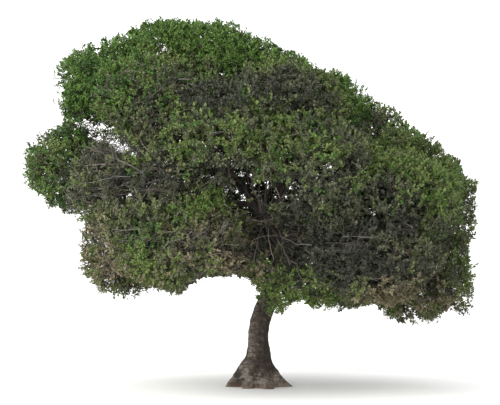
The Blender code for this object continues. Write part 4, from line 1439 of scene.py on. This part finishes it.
OUTER = Layer(
    shallow=0.08, deep=0.32, tips_from=-0.01, spacing=0.25, twigs=7, twig_reach=(0.11, 0.20), sprays=4,
    spray_reach=(0.08, 0.14), leaves=10, leaf_length=0.048, leaf_width=0.032, gloom=0.0,
    hidden_share=0.08, fans=1.0, outermost=True,
)
MIDDLE = Layer(
    shallow=0.30, deep=0.56, tips_from=0.10, spacing=0.28, twigs=6, twig_reach=(0.13, 0.22), sprays=3,
    spray_reach=(0.09, 0.14), leaves=7, leaf_length=0.081, leaf_width=0.053, gloom=-0.06,
    hidden_share=0.36, fans=0.6,
)
INNER = Layer(
    shallow=0.54, deep=1.20, tips_from=0.34, spacing=0.30, twigs=6, twig_reach=(0.16, 0.28), sprays=2,
    spray_reach=(0.12, 0.18), leaves=8, leaf_length=0.111, leaf_width=0.074, gloom=-0.02,
    hidden_share=0.40, fans=0.0,
)

# A leaf folded along its midrib: shares of its length along it, of its width across and above it.
LEAF_OUTLINE = ((0.0, 0.0, 0.0), (0.46, 0.5, 0.08), (1.0, 0.0, -0.06), (0.46, -0.5, 0.08))
LEAF_FACES = ((0, 1, 2), (0, 2, 3))


@dataclass(frozen=True)
class ClumpRule:
    """How clumps are scattered through a mass and thinned out to even distances."""

    tries: int = 3600
    fill_tries: int = 700
    scatter: float = 1.15
    over_hem: float = 0.07
    limb_gap: float = 0.06
    hidden_below: float = -0.22
    hidden_within: float = 0.7
    hidden_spacing: float = 1.3
    back_spacing: float = 1.18
    front_of: float = 0.4
    front_run: float = 0.8
    patch_middle: float = 2.0
    patch_fall: float = 1.4
    least_leaves: float = 0.8
    tuft_leaves: float = 0.3
    tuft_twigs: float = 0.5
    aim_up: float = 0.25


@dataclass(frozen=True)
class BranchRule:
    """How branches run from a mass's stem to its clumps, and how thick they are."""

    steps: int = 3
    radius: float = 0.005
    power: float = 0.42
    brown_share: float = 0.35
    stem_bend: float = 0.5
    sunk: float = 0.03
    detour_cost: float = 0.3
    onward: float = 0.6
    leave: float = 0.35
    arrive: float = 0.3
    sway: float = 0.06


@dataclass(frozen=True)
class TwigRule:
    """How a clump's leafy twigs fan out round the way that it aims."""

    radius: float = 0.0036
    foot_swell: float = 1.25
    fan_depth: float = 1.25
    stray: float = 0.18
    knee_lift: float = 0.03
    vigour: Pair = (0.75, 1.2)
    dull_vigour: float = 0.72
    open_from: float = -0.4
    green_share: float = 0.5


@dataclass(frozen=True)
class SprayRule:
    """How sprays leave a twig, how light a tint each is dealt as painted light and shade, and how its
    leaves stand.
    """

    first_at: float = 0.45
    axis_spread: float = 0.3
    along: float = 0.7
    spread: float = 0.75
    outward: float = 0.25
    up: float = 0.1
    light_out: float = 0.55
    light_up: float = 0.75
    open_tone: float = 0.14
    clump_tone: float = 0.05
    height_tone: float = 0.7
    depth_tone: float = 0.2
    depth_from: float = 0.1
    tuft_tone: float = 0.17
    own_tone: float = 0.03
    tip_gap: float = 0.03
    root_gap: float = 0.02
    shoot_radius: float = 0.7
    leaf_from: float = 0.12
    foot_splay: float = 1.4
    tip_splay: float = 0.5
    splay_stray: float = 0.25
    leaf_lift: float = 0.18
    face_stray: float = 0.2
    leaf_sizes: Pair = (0.75, 1.12)


@dataclass(frozen=True)
class BareRule:
    """How bare twigs and their side shoots grow, flat or drooping a little."""

    foot_stray: float = 0.06
    outward: Place = (0.5, 0.5, 0.1)
    stray: Place = (0.8, 0.5, 0.34)
    reach: Pair = (0.28, 0.75)
    points: int = 4
    bend: float = 0.05
    droop: Pair = (-0.16, 0.05)
    tints: tuple[TwigTint, ...] = (TwigTint.PALE, TwigTint.BROWN, TwigTint.SHADED)
    tint_shares: Place = (0.5, 0.35, 0.15)
    dim_below: float = 0.48
    dim_rate: float = 1.8
    radii: Pair = (0.0066, 0.0036)
    shoots: int = 6
    shoots_at: Pair = (0.25, 0.95)
    shoot_aside: float = 0.8
    shoot_stray: float = 0.28
    shoot_reach: Pair = (0.1, 0.3)
    shoot_taper: Pair = (1.15, 0.5)
    shoot_droop: Pair = (-0.05, 0.03)
    shoot_bend: float = 0.5
    shoot_radii: Pair = (0.0042, 0.003)
    least_depth: float = -0.02
    seam: float = 0.25


@dataclass(frozen=True)
class StemRule:
    """How the slender stems inside the crown are made."""

    points: int = 12
    sides: int = 8
    taper: float = 0.4
    sway: float = 0.02
    sway_waves: int = 6
    sway_length: float = 0.5
    sway_shift: float = 3.0


@dataclass
class Clumps:
    """Clumps of one layer in one mass, as arrays with a row for each clump."""

    layer: Layer
    middles: Array
    strays: Array
    light: Array
    leafiness: Array
    bareness: Array
    greyness: Array
    openness: Array
    aim: Array
    stalk: float = 0.12

    @property
    def feet(self) -> Array:
        """Where the clumps' branches end and their twigs start."""
        return self.middles - self.aim * self.stalk


@dataclass
class Growth:
    """One mass's growth: its number, where its twigs go, and its random numbers."""

    index: int
    twigs: Sheaf
    chance: np.random.Generator

    @property
    def mass(self) -> Mass:
        """The mass."""
        return MASSES[self.index]


@dataclass
class Sprays:
    """Sprays of one layer, as arrays with a row for each spray."""

    layer: Layer
    roots: Array
    ways: Array
    lengths: Array
    light: Array
    tints: Array


@dataclass
class Foliage:
    """All the masses: branches, twigs, bare twigs and sprays of leaves, down to the leaf."""

    plan: CrownPlan
    view: FrontView
    seed: int = 7
    stem_seed: int = 99
    left_of: float = -0.3
    back_of: float = 1.0
    hem: float = 1.1
    seam: float = 0.12
    wisp_level: float = 0.75
    twig_sides: int = 3
    tufts: Ripple = Ripple(33, 30, 0.62)
    wisps: Ripple = Ripple(41, 30, 0.3, (2.0, 1.0, 1.0))
    clump_rule: ClumpRule = ClumpRule()
    branch_rule: BranchRule = BranchRule()
    twig_rule: TwigRule = TwigRule()
    spray_rule: SprayRule = SprayRule()
    bare_rule: BareRule = BareRule()
    stem_rule: StemRule = StemRule()

    def __post_init__(self) -> None:
        """Starts the pieces that the twigs and leaves are joined in."""
        self.twigs = {name: Sheaf() for name in ("twigs_left", "twigs_right", "twigs_back")}
        self.leaves = {part: Sheaf() for part in Part}
        self.clumps = 0
        self.sprays = 0

    def build(self) -> dict[str, bpy.types.Object]:
        """Grows every mass, then joins its leaves and twigs.

        Returns:
            The pieces by name.
        """
        for index in range(len(MASSES)):
            self._grow_mass(index)
        self._raise_stems()
        made = {}
        leaf_finishes = [tint.value.material() for tint in LeafTint]
        for part, sheaf in self.leaves.items():
            name = "leaves_" + part.value
            made[name] = sheaf.piece(name, leaf_finishes, smooth=False)
            nodes = ["foliage_" + mass.name for mass in MASSES if mass.part is part]
            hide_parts(*nodes)
            LOG.info("%s: %d triangles", name, sheaf.triangles())
        twig_finishes = [tint.value.material() for tint in TwigTint]
        for name, sheaf in self.twigs.items():
            made[name] = sheaf.piece(name, twig_finishes, smooth=True)
            LOG.info("%s: %d triangles", name, sheaf.triangles())
        LOG.info("%d clumps, %d sprays", self.clumps, self.sprays)
        return made

    def _grow_mass(self, index: int) -> None:
        """Grows one mass: its clumps' places, the branches to them, and what they carry."""
        mass = MASSES[index]
        side = "twigs_left" if mass.middle[0] < self.left_of else "twigs_right"
        twigs = self.twigs["twigs_back" if mass.middle[1] > self.back_of else side]
        growth = Growth(index, twigs, np.random.default_rng((self.seed, index)))
        layers = [self._clumps(growth, layer) for layer in (INNER, MIDDLE, OUTER)]
        feet = np.vstack([clumps.feet for clumps in layers])
        aim = np.vstack([clumps.aim for clumps in layers])
        chains, radii = self._branches(growth, feet, aim)
        brown = growth.chance.random(len(chains)) < self.branch_rule.brown_share
        twigs.add_tubes(chains, radii, self.twig_sides, tinted(brown, TwigTint.BROWN))
        for clumps in layers:
            self.clumps += len(clumps.middles)
            self._grow_clumps(growth, clumps)
            self._grow_bare(growth, clumps)

    def _clumps(self, growth: Growth, layer: Layer) -> Clumps:
        """Places clumps evenly apart in a layer of a mass and of the fills beside it.

        Args:
            growth: The mass's growth.
            layer: The layer.

        Returns:
            The clumps.
        """
        plan, mass, rule, chance = self.plan, growth.mass, self.clump_rule, growth.chance
        reach = plan.reaches[growth.index] * rule.scatter
        tries = self._scatter(plan.middles[growth.index], reach, rule.tries, chance)
        tries = tries[plan.own(growth.index, tries)]
        traits = np.tile((*astuple(mass.habit.value), 0.0), (len(tries), 1))
        for fill in FILLS:
            if fill.mass == mass.name:
                more = self._scatter(np.array(fill.middle), np.array(fill.reach), rule.fill_tries, chance)
                more = more[~plan.in_a_mass(more)]
                kind = (fill.light, fill.leafiness, fill.bareness, mass.habit.value.greyness, 1.0)
                tries = np.vstack((tries, more))
                traits = np.vstack((traits, np.tile(kind, (len(more), 1))))
        depth = plan.skin_depth(tries)
        openness = plan.openness(tries)
        hidden = (openness < rule.hidden_below) & (plan.remoteness(tries) < rule.hidden_within)
        wanted = (depth > layer.shallow) & (depth < layer.deep) & (tries[:, 2] > self.hem + rule.over_hem)
        wanted &= ~hidden | (chance.random(len(tries)) < layer.hidden_share)
        wanted &= plan.clear_of_limbs(tries, rule.limb_gap)
        spacing = layer.spacing * np.where(hidden, rule.hidden_spacing, 1.0)
        spacing = spacing * (rule.back_spacing if mass.middle[1] > self.back_of else 1.0)
        chosen: list[int] = []
        for place in np.nonzero(wanted)[0]:
            off = tries[chosen] - tries[place]
            if not chosen or dots(off, off).min() > spacing[place] ** 2:
                chosen.append(int(place))
        middles, traits, openness = tries[chosen], traits[chosen], openness[chosen]
        tufts = self.tufts.at(middles)
        light, leafiness, bareness, greyness = self._patched(middles, traits[:, :4]).T
        if layer.outermost:
            leafiness = leafiness * (1 + rule.tuft_leaves * tufts)
        else:
            leafiness = np.maximum(traits[:, 1], rule.least_leaves)
        bareness = bareness + rule.tuft_twigs * np.clip(-tufts, 0, 1)
        aim = unit(plan.outward(middles) + rule.aim_up * UP)
        strays = traits[:, 4] > 0
        return Clumps(layer, middles, strays, light, leafiness, bareness, greyness, openness, aim)

    @staticmethod
    def _scatter(middle: Array, reach: Array, count: int, chance: np.random.Generator) -> Array:
        """Random points spread evenly through an ellipsoid."""
        ball = unit(chance.normal(size=(count, 3))) * chance.random((count, 1)) ** (1 / 3)
        return middle + ball * reach

    def _patched(self, middles: Array, traits: Array) -> Array:
        """The clumps' light, leafiness, bareness and greyness, with the front's patches added."""
        rule = self.clump_rule
        traits = traits.copy()
        pixels = self.view.pixels(middles)
        front = rise(rule.front_of - middles[:, 1], 0.0, rule.front_run)
        for patch in PATCHES:
            weight = front * np.clip(rule.patch_middle - rule.patch_fall * patch.away(pixels), 0, 1)
            added = (patch.light, patch.leafiness, patch.bareness, patch.greyness)
            traits += weight[:, None] * np.array(added)
        return traits

    def _branches(self, growth: Growth, feet: Array, aim: Array) -> tuple[Array, Array]:
        """Branches from the mass's stem to the foot of each clump.

        Each starts at the nearest point of what has grown before it, so that they fork.

        Args:
            growth: The mass's growth.
            feet: Where the branches end.
            aim: Which way they point there.

        Returns:
            The points along each branch, and the radius at each of them but the last.
        """
        rule, mass, steps = self.branch_rule, growth.mass, self.branch_rule.steps
        middle = self.plan.middles[growth.index]
        if mass.name in ON_THE_TRUNK:
            start = self.plan.limbs["trunk"].at(mass.share)
            way = unit(middle - start)
        else:
            start, before = self.plan.limbs[mass.name].points[[-1, -2]]
            way = unit(start - before)
        run = np.linalg.norm(middle - start)
        t = np.linspace(0, 1, steps + 1)[:, None]
        stem = bend(t, start, start + way * run * rule.stem_bend, middle)
        chains = [stem - way * rule.sunk * (1 - t)]
        nodes = [(chains[0][place], 0, place, run * place / steps) for place in range(1, steps + 1)]
        parents = [(-1, 0)]
        for clump in np.argsort(np.linalg.norm(feet - middle, axis=1)):
            foot = feet[clump]
            places = np.array([node[0] for node in nodes])
            lengths = np.array([node[3] for node in nodes])
            cost = np.linalg.norm(places - foot, axis=1) + rule.detour_cost * lengths
            root, chain, place, before = nodes[int(cost.argmin())]
            far = np.linalg.norm(foot - root)
            onward = unit(chains[chain][place] - chains[chain][place - 1])
            first = root + unit(onward * rule.onward + unit(foot - root)) * far * rule.leave
            last = foot - aim[clump] * far * rule.arrive
            sway = growth.chance.normal(size=3) * far * rule.sway * np.sin(math.pi * t)
            path = sweep(t, root, first, last, foot) + sway
            chains.append(path)
            parents.append((chain, place))
            own = range(2, steps + 1)
            nodes += [(path[step], len(chains) - 1, step, before + far * step / steps) for step in own]
        loads = np.ones((len(chains), steps + 1))
        for child in range(len(chains) - 1, 0, -1):
            chain, place = parents[child]
            loads[chain, : place + 1] += loads[child, 0]
        radii = rule.radius * loads**rule.power
        return np.array(chains), radii[:, :-1]

    def _grow_clumps(self, growth: Growth, clumps: Clumps) -> None:
        """Grows the twigs of a mass's clumps, then the sprays of leaves on them.

        Args:
            growth: The mass's growth.
            clumps: Its clumps in one layer.
        """
        rule, layer, chance = self.twig_rule, clumps.layer, growth.chance
        number, count = len(clumps.middles), layer.twigs
        order = np.arange(count)
        up = 1 - rule.fan_depth * (order + 0.5) / count
        turn = order * GOLDEN_ANGLE + chance.uniform(0, 2 * math.pi, (number, 1))
        side = unit(np.cross(clumps.aim, chance.normal(size=(number, 3))))
        around = spokes(side, np.cross(clumps.aim, side), turn) * np.sqrt(1 - up**2)[:, None]
        fan = around + clumps.aim[:, None] * up[:, None]
        fan = unit(fan + chance.normal(size=fan.shape) * rule.stray)
        ends = clumps.middles[:, None] + fan * chance.uniform(*layer.twig_reach, (number, count, 1))
        feet = np.broadcast_to(clumps.feet[:, None], ends.shape)
        knees = (feet + ends) / 2 + clumps.aim[:, None] * rule.knee_lift
        lit = rule.dull_vigour + (1 - rule.dull_vigour) * rise(clumps.openness, rule.open_from, 1.0)
        vigour = chance.uniform(*rule.vigour, number) * lit
        keep = chance.random((number, count)) < (clumps.leafiness * vigour)[:, None]
        strays = np.repeat(clumps.strays, count)
        keep &= self._grows(growth, layer, ends.reshape(-1, 3), strays).reshape(number, count)
        if not keep.any():
            return
        paths = np.stack((feet, knees, ends), axis=2)[keep]
        green = chance.random(len(paths)) < rule.green_share
        kept = paths if layer.outermost else paths[:, ::2]
        radii = np.tile((rule.radius * rule.foot_swell, rule.radius), (len(paths), 1))
        slots = tinted(green, TwigTint.YOUNG)
        growth.twigs.add_tubes(kept, radii[:, : kept.shape[1] - 1], self.twig_sides, slots)
        self._grow_sprays(growth, clumps, np.nonzero(keep)[0], fan[keep], paths)

    def _grow_sprays(
        self, growth: Growth, clumps: Clumps, clump_of: Array, fans: Array, paths: Array
    ) -> None:
        """Sets sprays along the outer part of each twig, and deals out their tints, which carry painted
        light and shade.

        Args:
            growth: The mass's growth.
            clumps: The clumps.
            clump_of: Which clump each twig is in.
            fans: Which way each twig goes.
            paths: The foot, knee and tip of each.
        """
        rule, layer, chance = self.spray_rule, clumps.layer, growth.chance
        share = np.linspace(1.0, rule.first_at, layer.sprays)[:, None]
        roots = bend(share, *(paths[:, step, None] for step in range(3)))
        spread = chance.normal(size=roots.shape)
        spread[:, 0] *= rule.axis_spread
        face = clumps.aim[clump_of][:, None] * rule.outward
        ways = unit(fans[:, None] * rule.along + spread * rule.spread + face + UP * rule.up)
        roots, ways = roots.reshape(-1, 3), ways.reshape(-1, 3)
        clump_of = np.repeat(clump_of, layer.sprays)
        lengths = chance.uniform(*layer.spray_reach, len(roots))
        tips = roots + ways * lengths[:, None]
        light = unit(clumps.aim[clump_of] * rule.light_out + UP * rule.light_up)
        # Painted light and shade: the tone that picks each tint is lighter for lit clumps, open sides and
        # tips towards the light, darker deeper in.
        height = dots(tips - clumps.middles[clump_of], light)
        shift = chance.normal(size=len(clumps.middles)) * rule.clump_tone
        own_tone = clumps.light + rule.open_tone * clumps.openness + shift
        tone = own_tone[clump_of] + rule.height_tone * height
        tone -= rule.depth_tone * rise(self.plan.depth(tips), rule.depth_from, 1.0)
        tone += rule.tuft_tone * self.tufts.at(tips) - layer.gloom
        tone += chance.normal(size=len(tone)) * rule.own_tone
        drawn = clumps.greyness[clump_of] - chance.random(len(tone))
        family = np.clip(np.ceil(drawn), 0, 2).astype(int)
        good = self._grows(growth, layer, tips, clumps.strays[clump_of])
        good &= self.plan.clear_of_limbs(tips, rule.tip_gap)
        good &= self.plan.clear_of_limbs(roots, rule.root_gap)
        tints = self._tints(tone[good], family[good])
        self._add_sprays(growth, Sprays(layer, roots[good], ways[good], lengths[good], light[good], tints))

    def _grows(self, growth: Growth, layer: Layer, points: Array, strays: Array) -> Array:
        """Whether leaves may grow at each point of a mass.

        Args:
            growth: The mass's growth.
            layer: Their layer.
            points: The points.
            strays: Whether each belongs to a fill, which isn't bound to the mass's own space.

        Returns:
            Whether each is in the crown, above its hem and off the gaps.
        """
        fine = (self.plan.skin_depth(points) > layer.tips_from) & (points[:, 2] > self.hem)
        fine &= strays | self.plan.own(growth.index, points, self.seam)
        return fine & self._off_the_gaps(points)

    def _off_the_gaps(self, points: Array, bare_only: bool = False) -> Array:
        """Whether each point is off the gaps in the front view, or off the bare ones only."""
        pixels = self.view.pixels(points)
        clear = np.ones(len(points), dtype=bool)
        wisps = self.wisps.at(points) > self.wisp_level
        for gap in GAPS:
            if gap.bare or not bare_only:
                clear &= ~gap.covers(points, pixels) | (wisps & gap.wisps)
        return clear

    @staticmethod
    def _tints(tone: Array, family: Array) -> Array:
        """The leaf tint for each spray.

        Args:
            tone: How light each spray is, from 0 to 1.
            family: 0 for a green spray, 1 for a grey or olive one and 2 for a dry one.

        Returns:
            The material slot of each spray's leaves.
        """
        slots = np.array([[LEAF_SLOTS[tint] for tint in tints] for tints in LEAF_FAMILIES])
        return slots[family, np.digitize(tone, TONE_STEPS)]

    def _add_sprays(self, growth: Growth, sprays: Sprays) -> None:
        """Adds the sprays' meshes: a thin shoot with leaves round it, all but closed at its tip.

        Args:
            growth: The growth of the mass that they are in.
            sprays: The sprays.
        """
        rule, layer, chance = self.spray_rule, sprays.layer, growth.chance
        roots, ways, lengths, light = sprays.roots, sprays.ways, sprays.lengths, sprays.light
        number, count = len(roots), layer.leaves
        self.sprays += number
        if layer.outermost:
            shoots = np.stack((roots, roots + ways * lengths[:, None]), axis=1)
            radii = np.full((number, 1), self.twig_rule.radius * rule.shoot_radius)
            slots = np.full(number, TWIG_SLOTS[TwigTint.YOUNG])
            growth.twigs.add_tubes(shoots, radii, self.twig_sides, slots)

        place = np.linspace(rule.leaf_from, 1.0, count)
        side = unit(np.cross(ways, chance.normal(size=(number, 3))))
        turn = np.arange(count) * GOLDEN_ANGLE + chance.uniform(0, 2 * math.pi, (number, 1))
        splay = rule.foot_splay - (rule.foot_splay - rule.tip_splay) * place
        splay = splay + chance.normal(size=(number, count)) * rule.splay_stray
        radial = spokes(side, np.cross(ways, side), turn)
        out = ways[:, None] * np.cos(splay)[..., None] + radial * np.sin(splay)[..., None]
        out = unit(out + light[:, None] * rule.leaf_lift)
        face = light[:, None] + chance.normal(size=out.shape) * rule.face_stray
        face = unit(face - out * dots(face, out)[..., None])
        across = np.cross(face, out)
        base = roots[:, None] + ways[:, None] * (lengths[:, None] * place)[..., None]
        size = chance.uniform(*rule.leaf_sizes, (number, count, 1, 1))
        along, wide, high = np.array(LEAF_OUTLINE).T[..., None]
        points = (
            base[:, :, None]
            + out[:, :, None] * along * layer.leaf_length * size
            + across[:, :, None] * wide * layer.leaf_width * size
            + face[:, :, None] * high * layer.leaf_width * size
        )
        leaves = self.leaves[growth.mass.part]
        first = leaves.add_points(points) + np.arange(number * count) * len(LEAF_OUTLINE)
        faces = first[:, None, None] + np.array(LEAF_FACES)
        leaves.add_faces(faces, np.repeat(sprays.tints, count * len(LEAF_FACES)))

    def _grow_bare(self, growth: Growth, clumps: Clumps) -> None:
        """Grows bare twigs with side shoots from a mass's clumps.

        Args:
            growth: The mass's growth.
            clumps: The clumps that they leave.
        """
        rule, chance = self.bare_rule, growth.chance
        repeats = chance.poisson(np.clip(clumps.bareness, 0, None) * clumps.layer.fans)
        which = np.repeat(np.arange(len(repeats)), repeats)
        number = len(which)
        if not number:
            return
        outward = self.plan.outward(clumps.middles[which])
        roots = clumps.feet[which] + chance.normal(size=(number, 3)) * rule.foot_stray
        level = unit(outward * rule.outward + chance.normal(size=(number, 3)) * rule.stray)
        reach = chance.uniform(*rule.reach, (number, 1, 1))
        arc = chance.normal(size=(number, 1, 3)) * rule.bend
        droop = UP * chance.uniform(*rule.droop, (number, 1, 1))

        def along(t: Array) -> Array:
            """The points at shares of the bare twigs' lengths."""
            return roots[:, None] + level[:, None] * reach * t + droop * t**2 + arc * np.sin(math.pi * t)

        mains = along(np.linspace(0, 1, rule.points)[:, None])
        tints = chance.choice([TWIG_SLOTS[tint] for tint in rule.tints], number, p=rule.tint_shares)
        # Painted shade: bare twigs of dim clumps take the shaded tint.
        dim = np.clip((rule.dim_below - clumps.light[which]) * rule.dim_rate, 0, 1)
        tints = np.where(chance.random(number) < dim, TWIG_SLOTS[TwigTint.SHADED], tints)
        good = self._fits(growth, mains[:, -1], clumps.strays[which])
        radii = np.tile(np.linspace(*rule.radii, rule.points - 1), (number, 1))
        growth.twigs.add_tubes(mains[good], radii[good], self.twig_sides, tints[good])

        shoots = rule.shoots
        at = np.linspace(*rule.shoots_at, shoots)[:, None]
        foot = along(at)
        sign = np.where(np.arange(shoots) % 2, 1.0, -1.0)[:, None]
        sideways = unit(np.cross(level, UP))[:, None] * sign
        stray = chance.normal(size=foot.shape) * rule.shoot_stray
        ways = unit(level[:, None] + sideways * rule.shoot_aside + stray)
        longest, taper = rule.shoot_taper
        run = chance.uniform(*rule.shoot_reach, (number, shoots, 1)) * (longest - taper * at)
        tip = foot + ways * run + UP * chance.uniform(*rule.shoot_droop, (number, shoots, 1))
        knee = foot + ways * run * rule.shoot_bend
        paths = np.stack((foot, knee, tip), axis=2)[good].reshape(-1, 3, 3)
        strays = np.repeat(clumps.strays[which][good], shoots)
        fine = self._fits(growth, paths[:, -1], strays) & self._fits(growth, paths[:, 0], strays)
        radii = np.tile(rule.shoot_radii, (len(paths), 1))
        slots = np.repeat(tints[good], shoots)
        growth.twigs.add_tubes(paths[fine], radii[fine], self.twig_sides, slots[fine])

    def _fits(self, growth: Growth, points: Array, strays: Array) -> Array:
        """Whether a bare twig may end at each point, where light may show behind it."""
        rule = self.bare_rule
        fine = (self.plan.depth(points) > rule.least_depth) & (points[:, 2] > self.hem)
        fine &= self._off_the_gaps(points, bare_only=True)
        return fine & (strays | self.plan.own(growth.index, points, rule.seam))

    def _raise_stems(self) -> None:
        """Raises the slender stems that fan from the fork inside the crown."""
        rule = self.stem_rule
        chance = np.random.default_rng((self.seed, self.stem_seed))
        t = np.linspace(0, 1, rule.points)[:, None]
        for stem in STEMS:
            path = bend(t, *(self.view.place(*point) for point in (stem.foot, stem.knee, stem.top)))
            ripple = Ripple(int(chance.integers(1000)), rule.sway_waves, rule.sway_length)
            sway = ripple.at(path + rule.sway_shift)[:, None] * rule.sway * np.sin(math.pi * t)
            radii = np.linspace(stem.radius, stem.radius * rule.taper, rule.points - 1)
            slots = np.array([TWIG_SLOTS[stem.tint]])
            self.twigs["twigs_right"].add_tubes((path + sway)[None], radii[None], rule.sides, slots)


# The studio.


@dataclass(frozen=True)
class Lamp:
    """A round soft lamp."""

    name: str
    place: Place
    size: float
    power: float
    colour: Colour

    def hang(self, aim: Place) -> None:
        """Hangs it, turned to a point."""
        lamp = bpy.data.lights.new(self.name, "AREA")
        lamp.shape = "DISK"
        lamp.size = self.size
        lamp.energy = self.power
        lamp.color = self.colour
        made = bpy.data.objects.new(self.name, lamp)
        made.location = self.place
        way = Vector(aim) - Vector(self.place)
        made.rotation_euler = way.to_track_quat("-Z", "Y").to_euler()
        bpy.context.scene.collection.objects.link(made)


@dataclass
class Studio:
    """A pale floor, an even white surround, soft lamps on the left and the photograph's camera."""

    view: FrontView
    surround: Colour = (1.0, 1.0, 1.0)
    surround_strength: float = 1.66
    floor_colour: Colour = (0.8, 0.8, 0.79)
    floor_roughness: float = 0.9
    floor_radius: float = 150.0
    floor_sides: int = 96
    floor_drop: float = 0.002
    clip_end: float = 400.0
    aim: Place = (0.0, 0.0, 3.4)
    lamps: tuple[Lamp, ...] = (
        Lamp("key", (-14.0, -11.0, 15.0), 14.0, 2400.0, (1.0, 0.97, 0.90)),
        Lamp("fill", (-6.0, -19.0, 3.0), 12.0, 3000.0, (1.0, 1.0, 0.98)),
    )

    def build(self) -> None:
        """Sets the stage, the lights and the camera."""
        self._floor()
        for lamp in self.lamps:
            lamp.hang(self.aim)
        self._surround()
        self._camera()
        bpy.context.scene.view_settings.view_transform = "Standard"

    def _floor(self) -> None:
        """Lays the floor."""
        bpy.ops.mesh.primitive_circle_add(
            vertices=self.floor_sides, radius=self.floor_radius, fill_type="NGON"
        )
        floor = bpy.context.object
        floor.name = "floor"
        floor.location.z = -self.floor_drop
        finish = PlainFinish("pale_floor", self.floor_colour, self.floor_roughness)
        floor.data.materials.append(finish.material())

    def _surround(self) -> None:
        """Makes the surround."""
        world = bpy.data.worlds.new("surround")
        world.use_nodes = True
        shade = world.node_tree.nodes["Background"]
        shade.inputs["Color"].default_value = (*self.surround, 1.0)
        shade.inputs["Strength"].default_value = self.surround_strength
        bpy.context.scene.world = world

    def _camera(self) -> None:
        """Sets up the camera."""
        view = self.view
        camera = bpy.data.cameras.new("front")
        camera.sensor_width = view.sensor
        camera.lens = view.lens
        camera.clip_end = self.clip_end
        made = bpy.data.objects.new("front", camera)
        made.location = (view.aside, -view.distance, view.eye_height)
        made.rotation_euler = (math.radians(90) + view.tilt, 0.0, 0.0)
        bpy.context.scene.collection.objects.link(made)
        bpy.context.scene.camera = made


def main() -> None:
    """Builds the skin of the limbs, the foliage and the studio."""
    logging.basicConfig(level=logging.INFO, format="%(name)s: %(message)s")
    plan = CrownPlan()
    view = FrontView()
    limbs = BarkSkin(plan).build()
    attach(limbs, "root")
    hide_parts("trunk", *["bough_" + name for name in plan.limbs if name != "trunk"])
    LOG.info("limbs: %d faces", len(limbs.data.polygons))
    for name, piece in Foliage(plan, view).build().items():
        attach(piece, "root")
    Studio(view).build()
    bpy.context.view_layer.update()


if __name__ == "__main__":
    main()
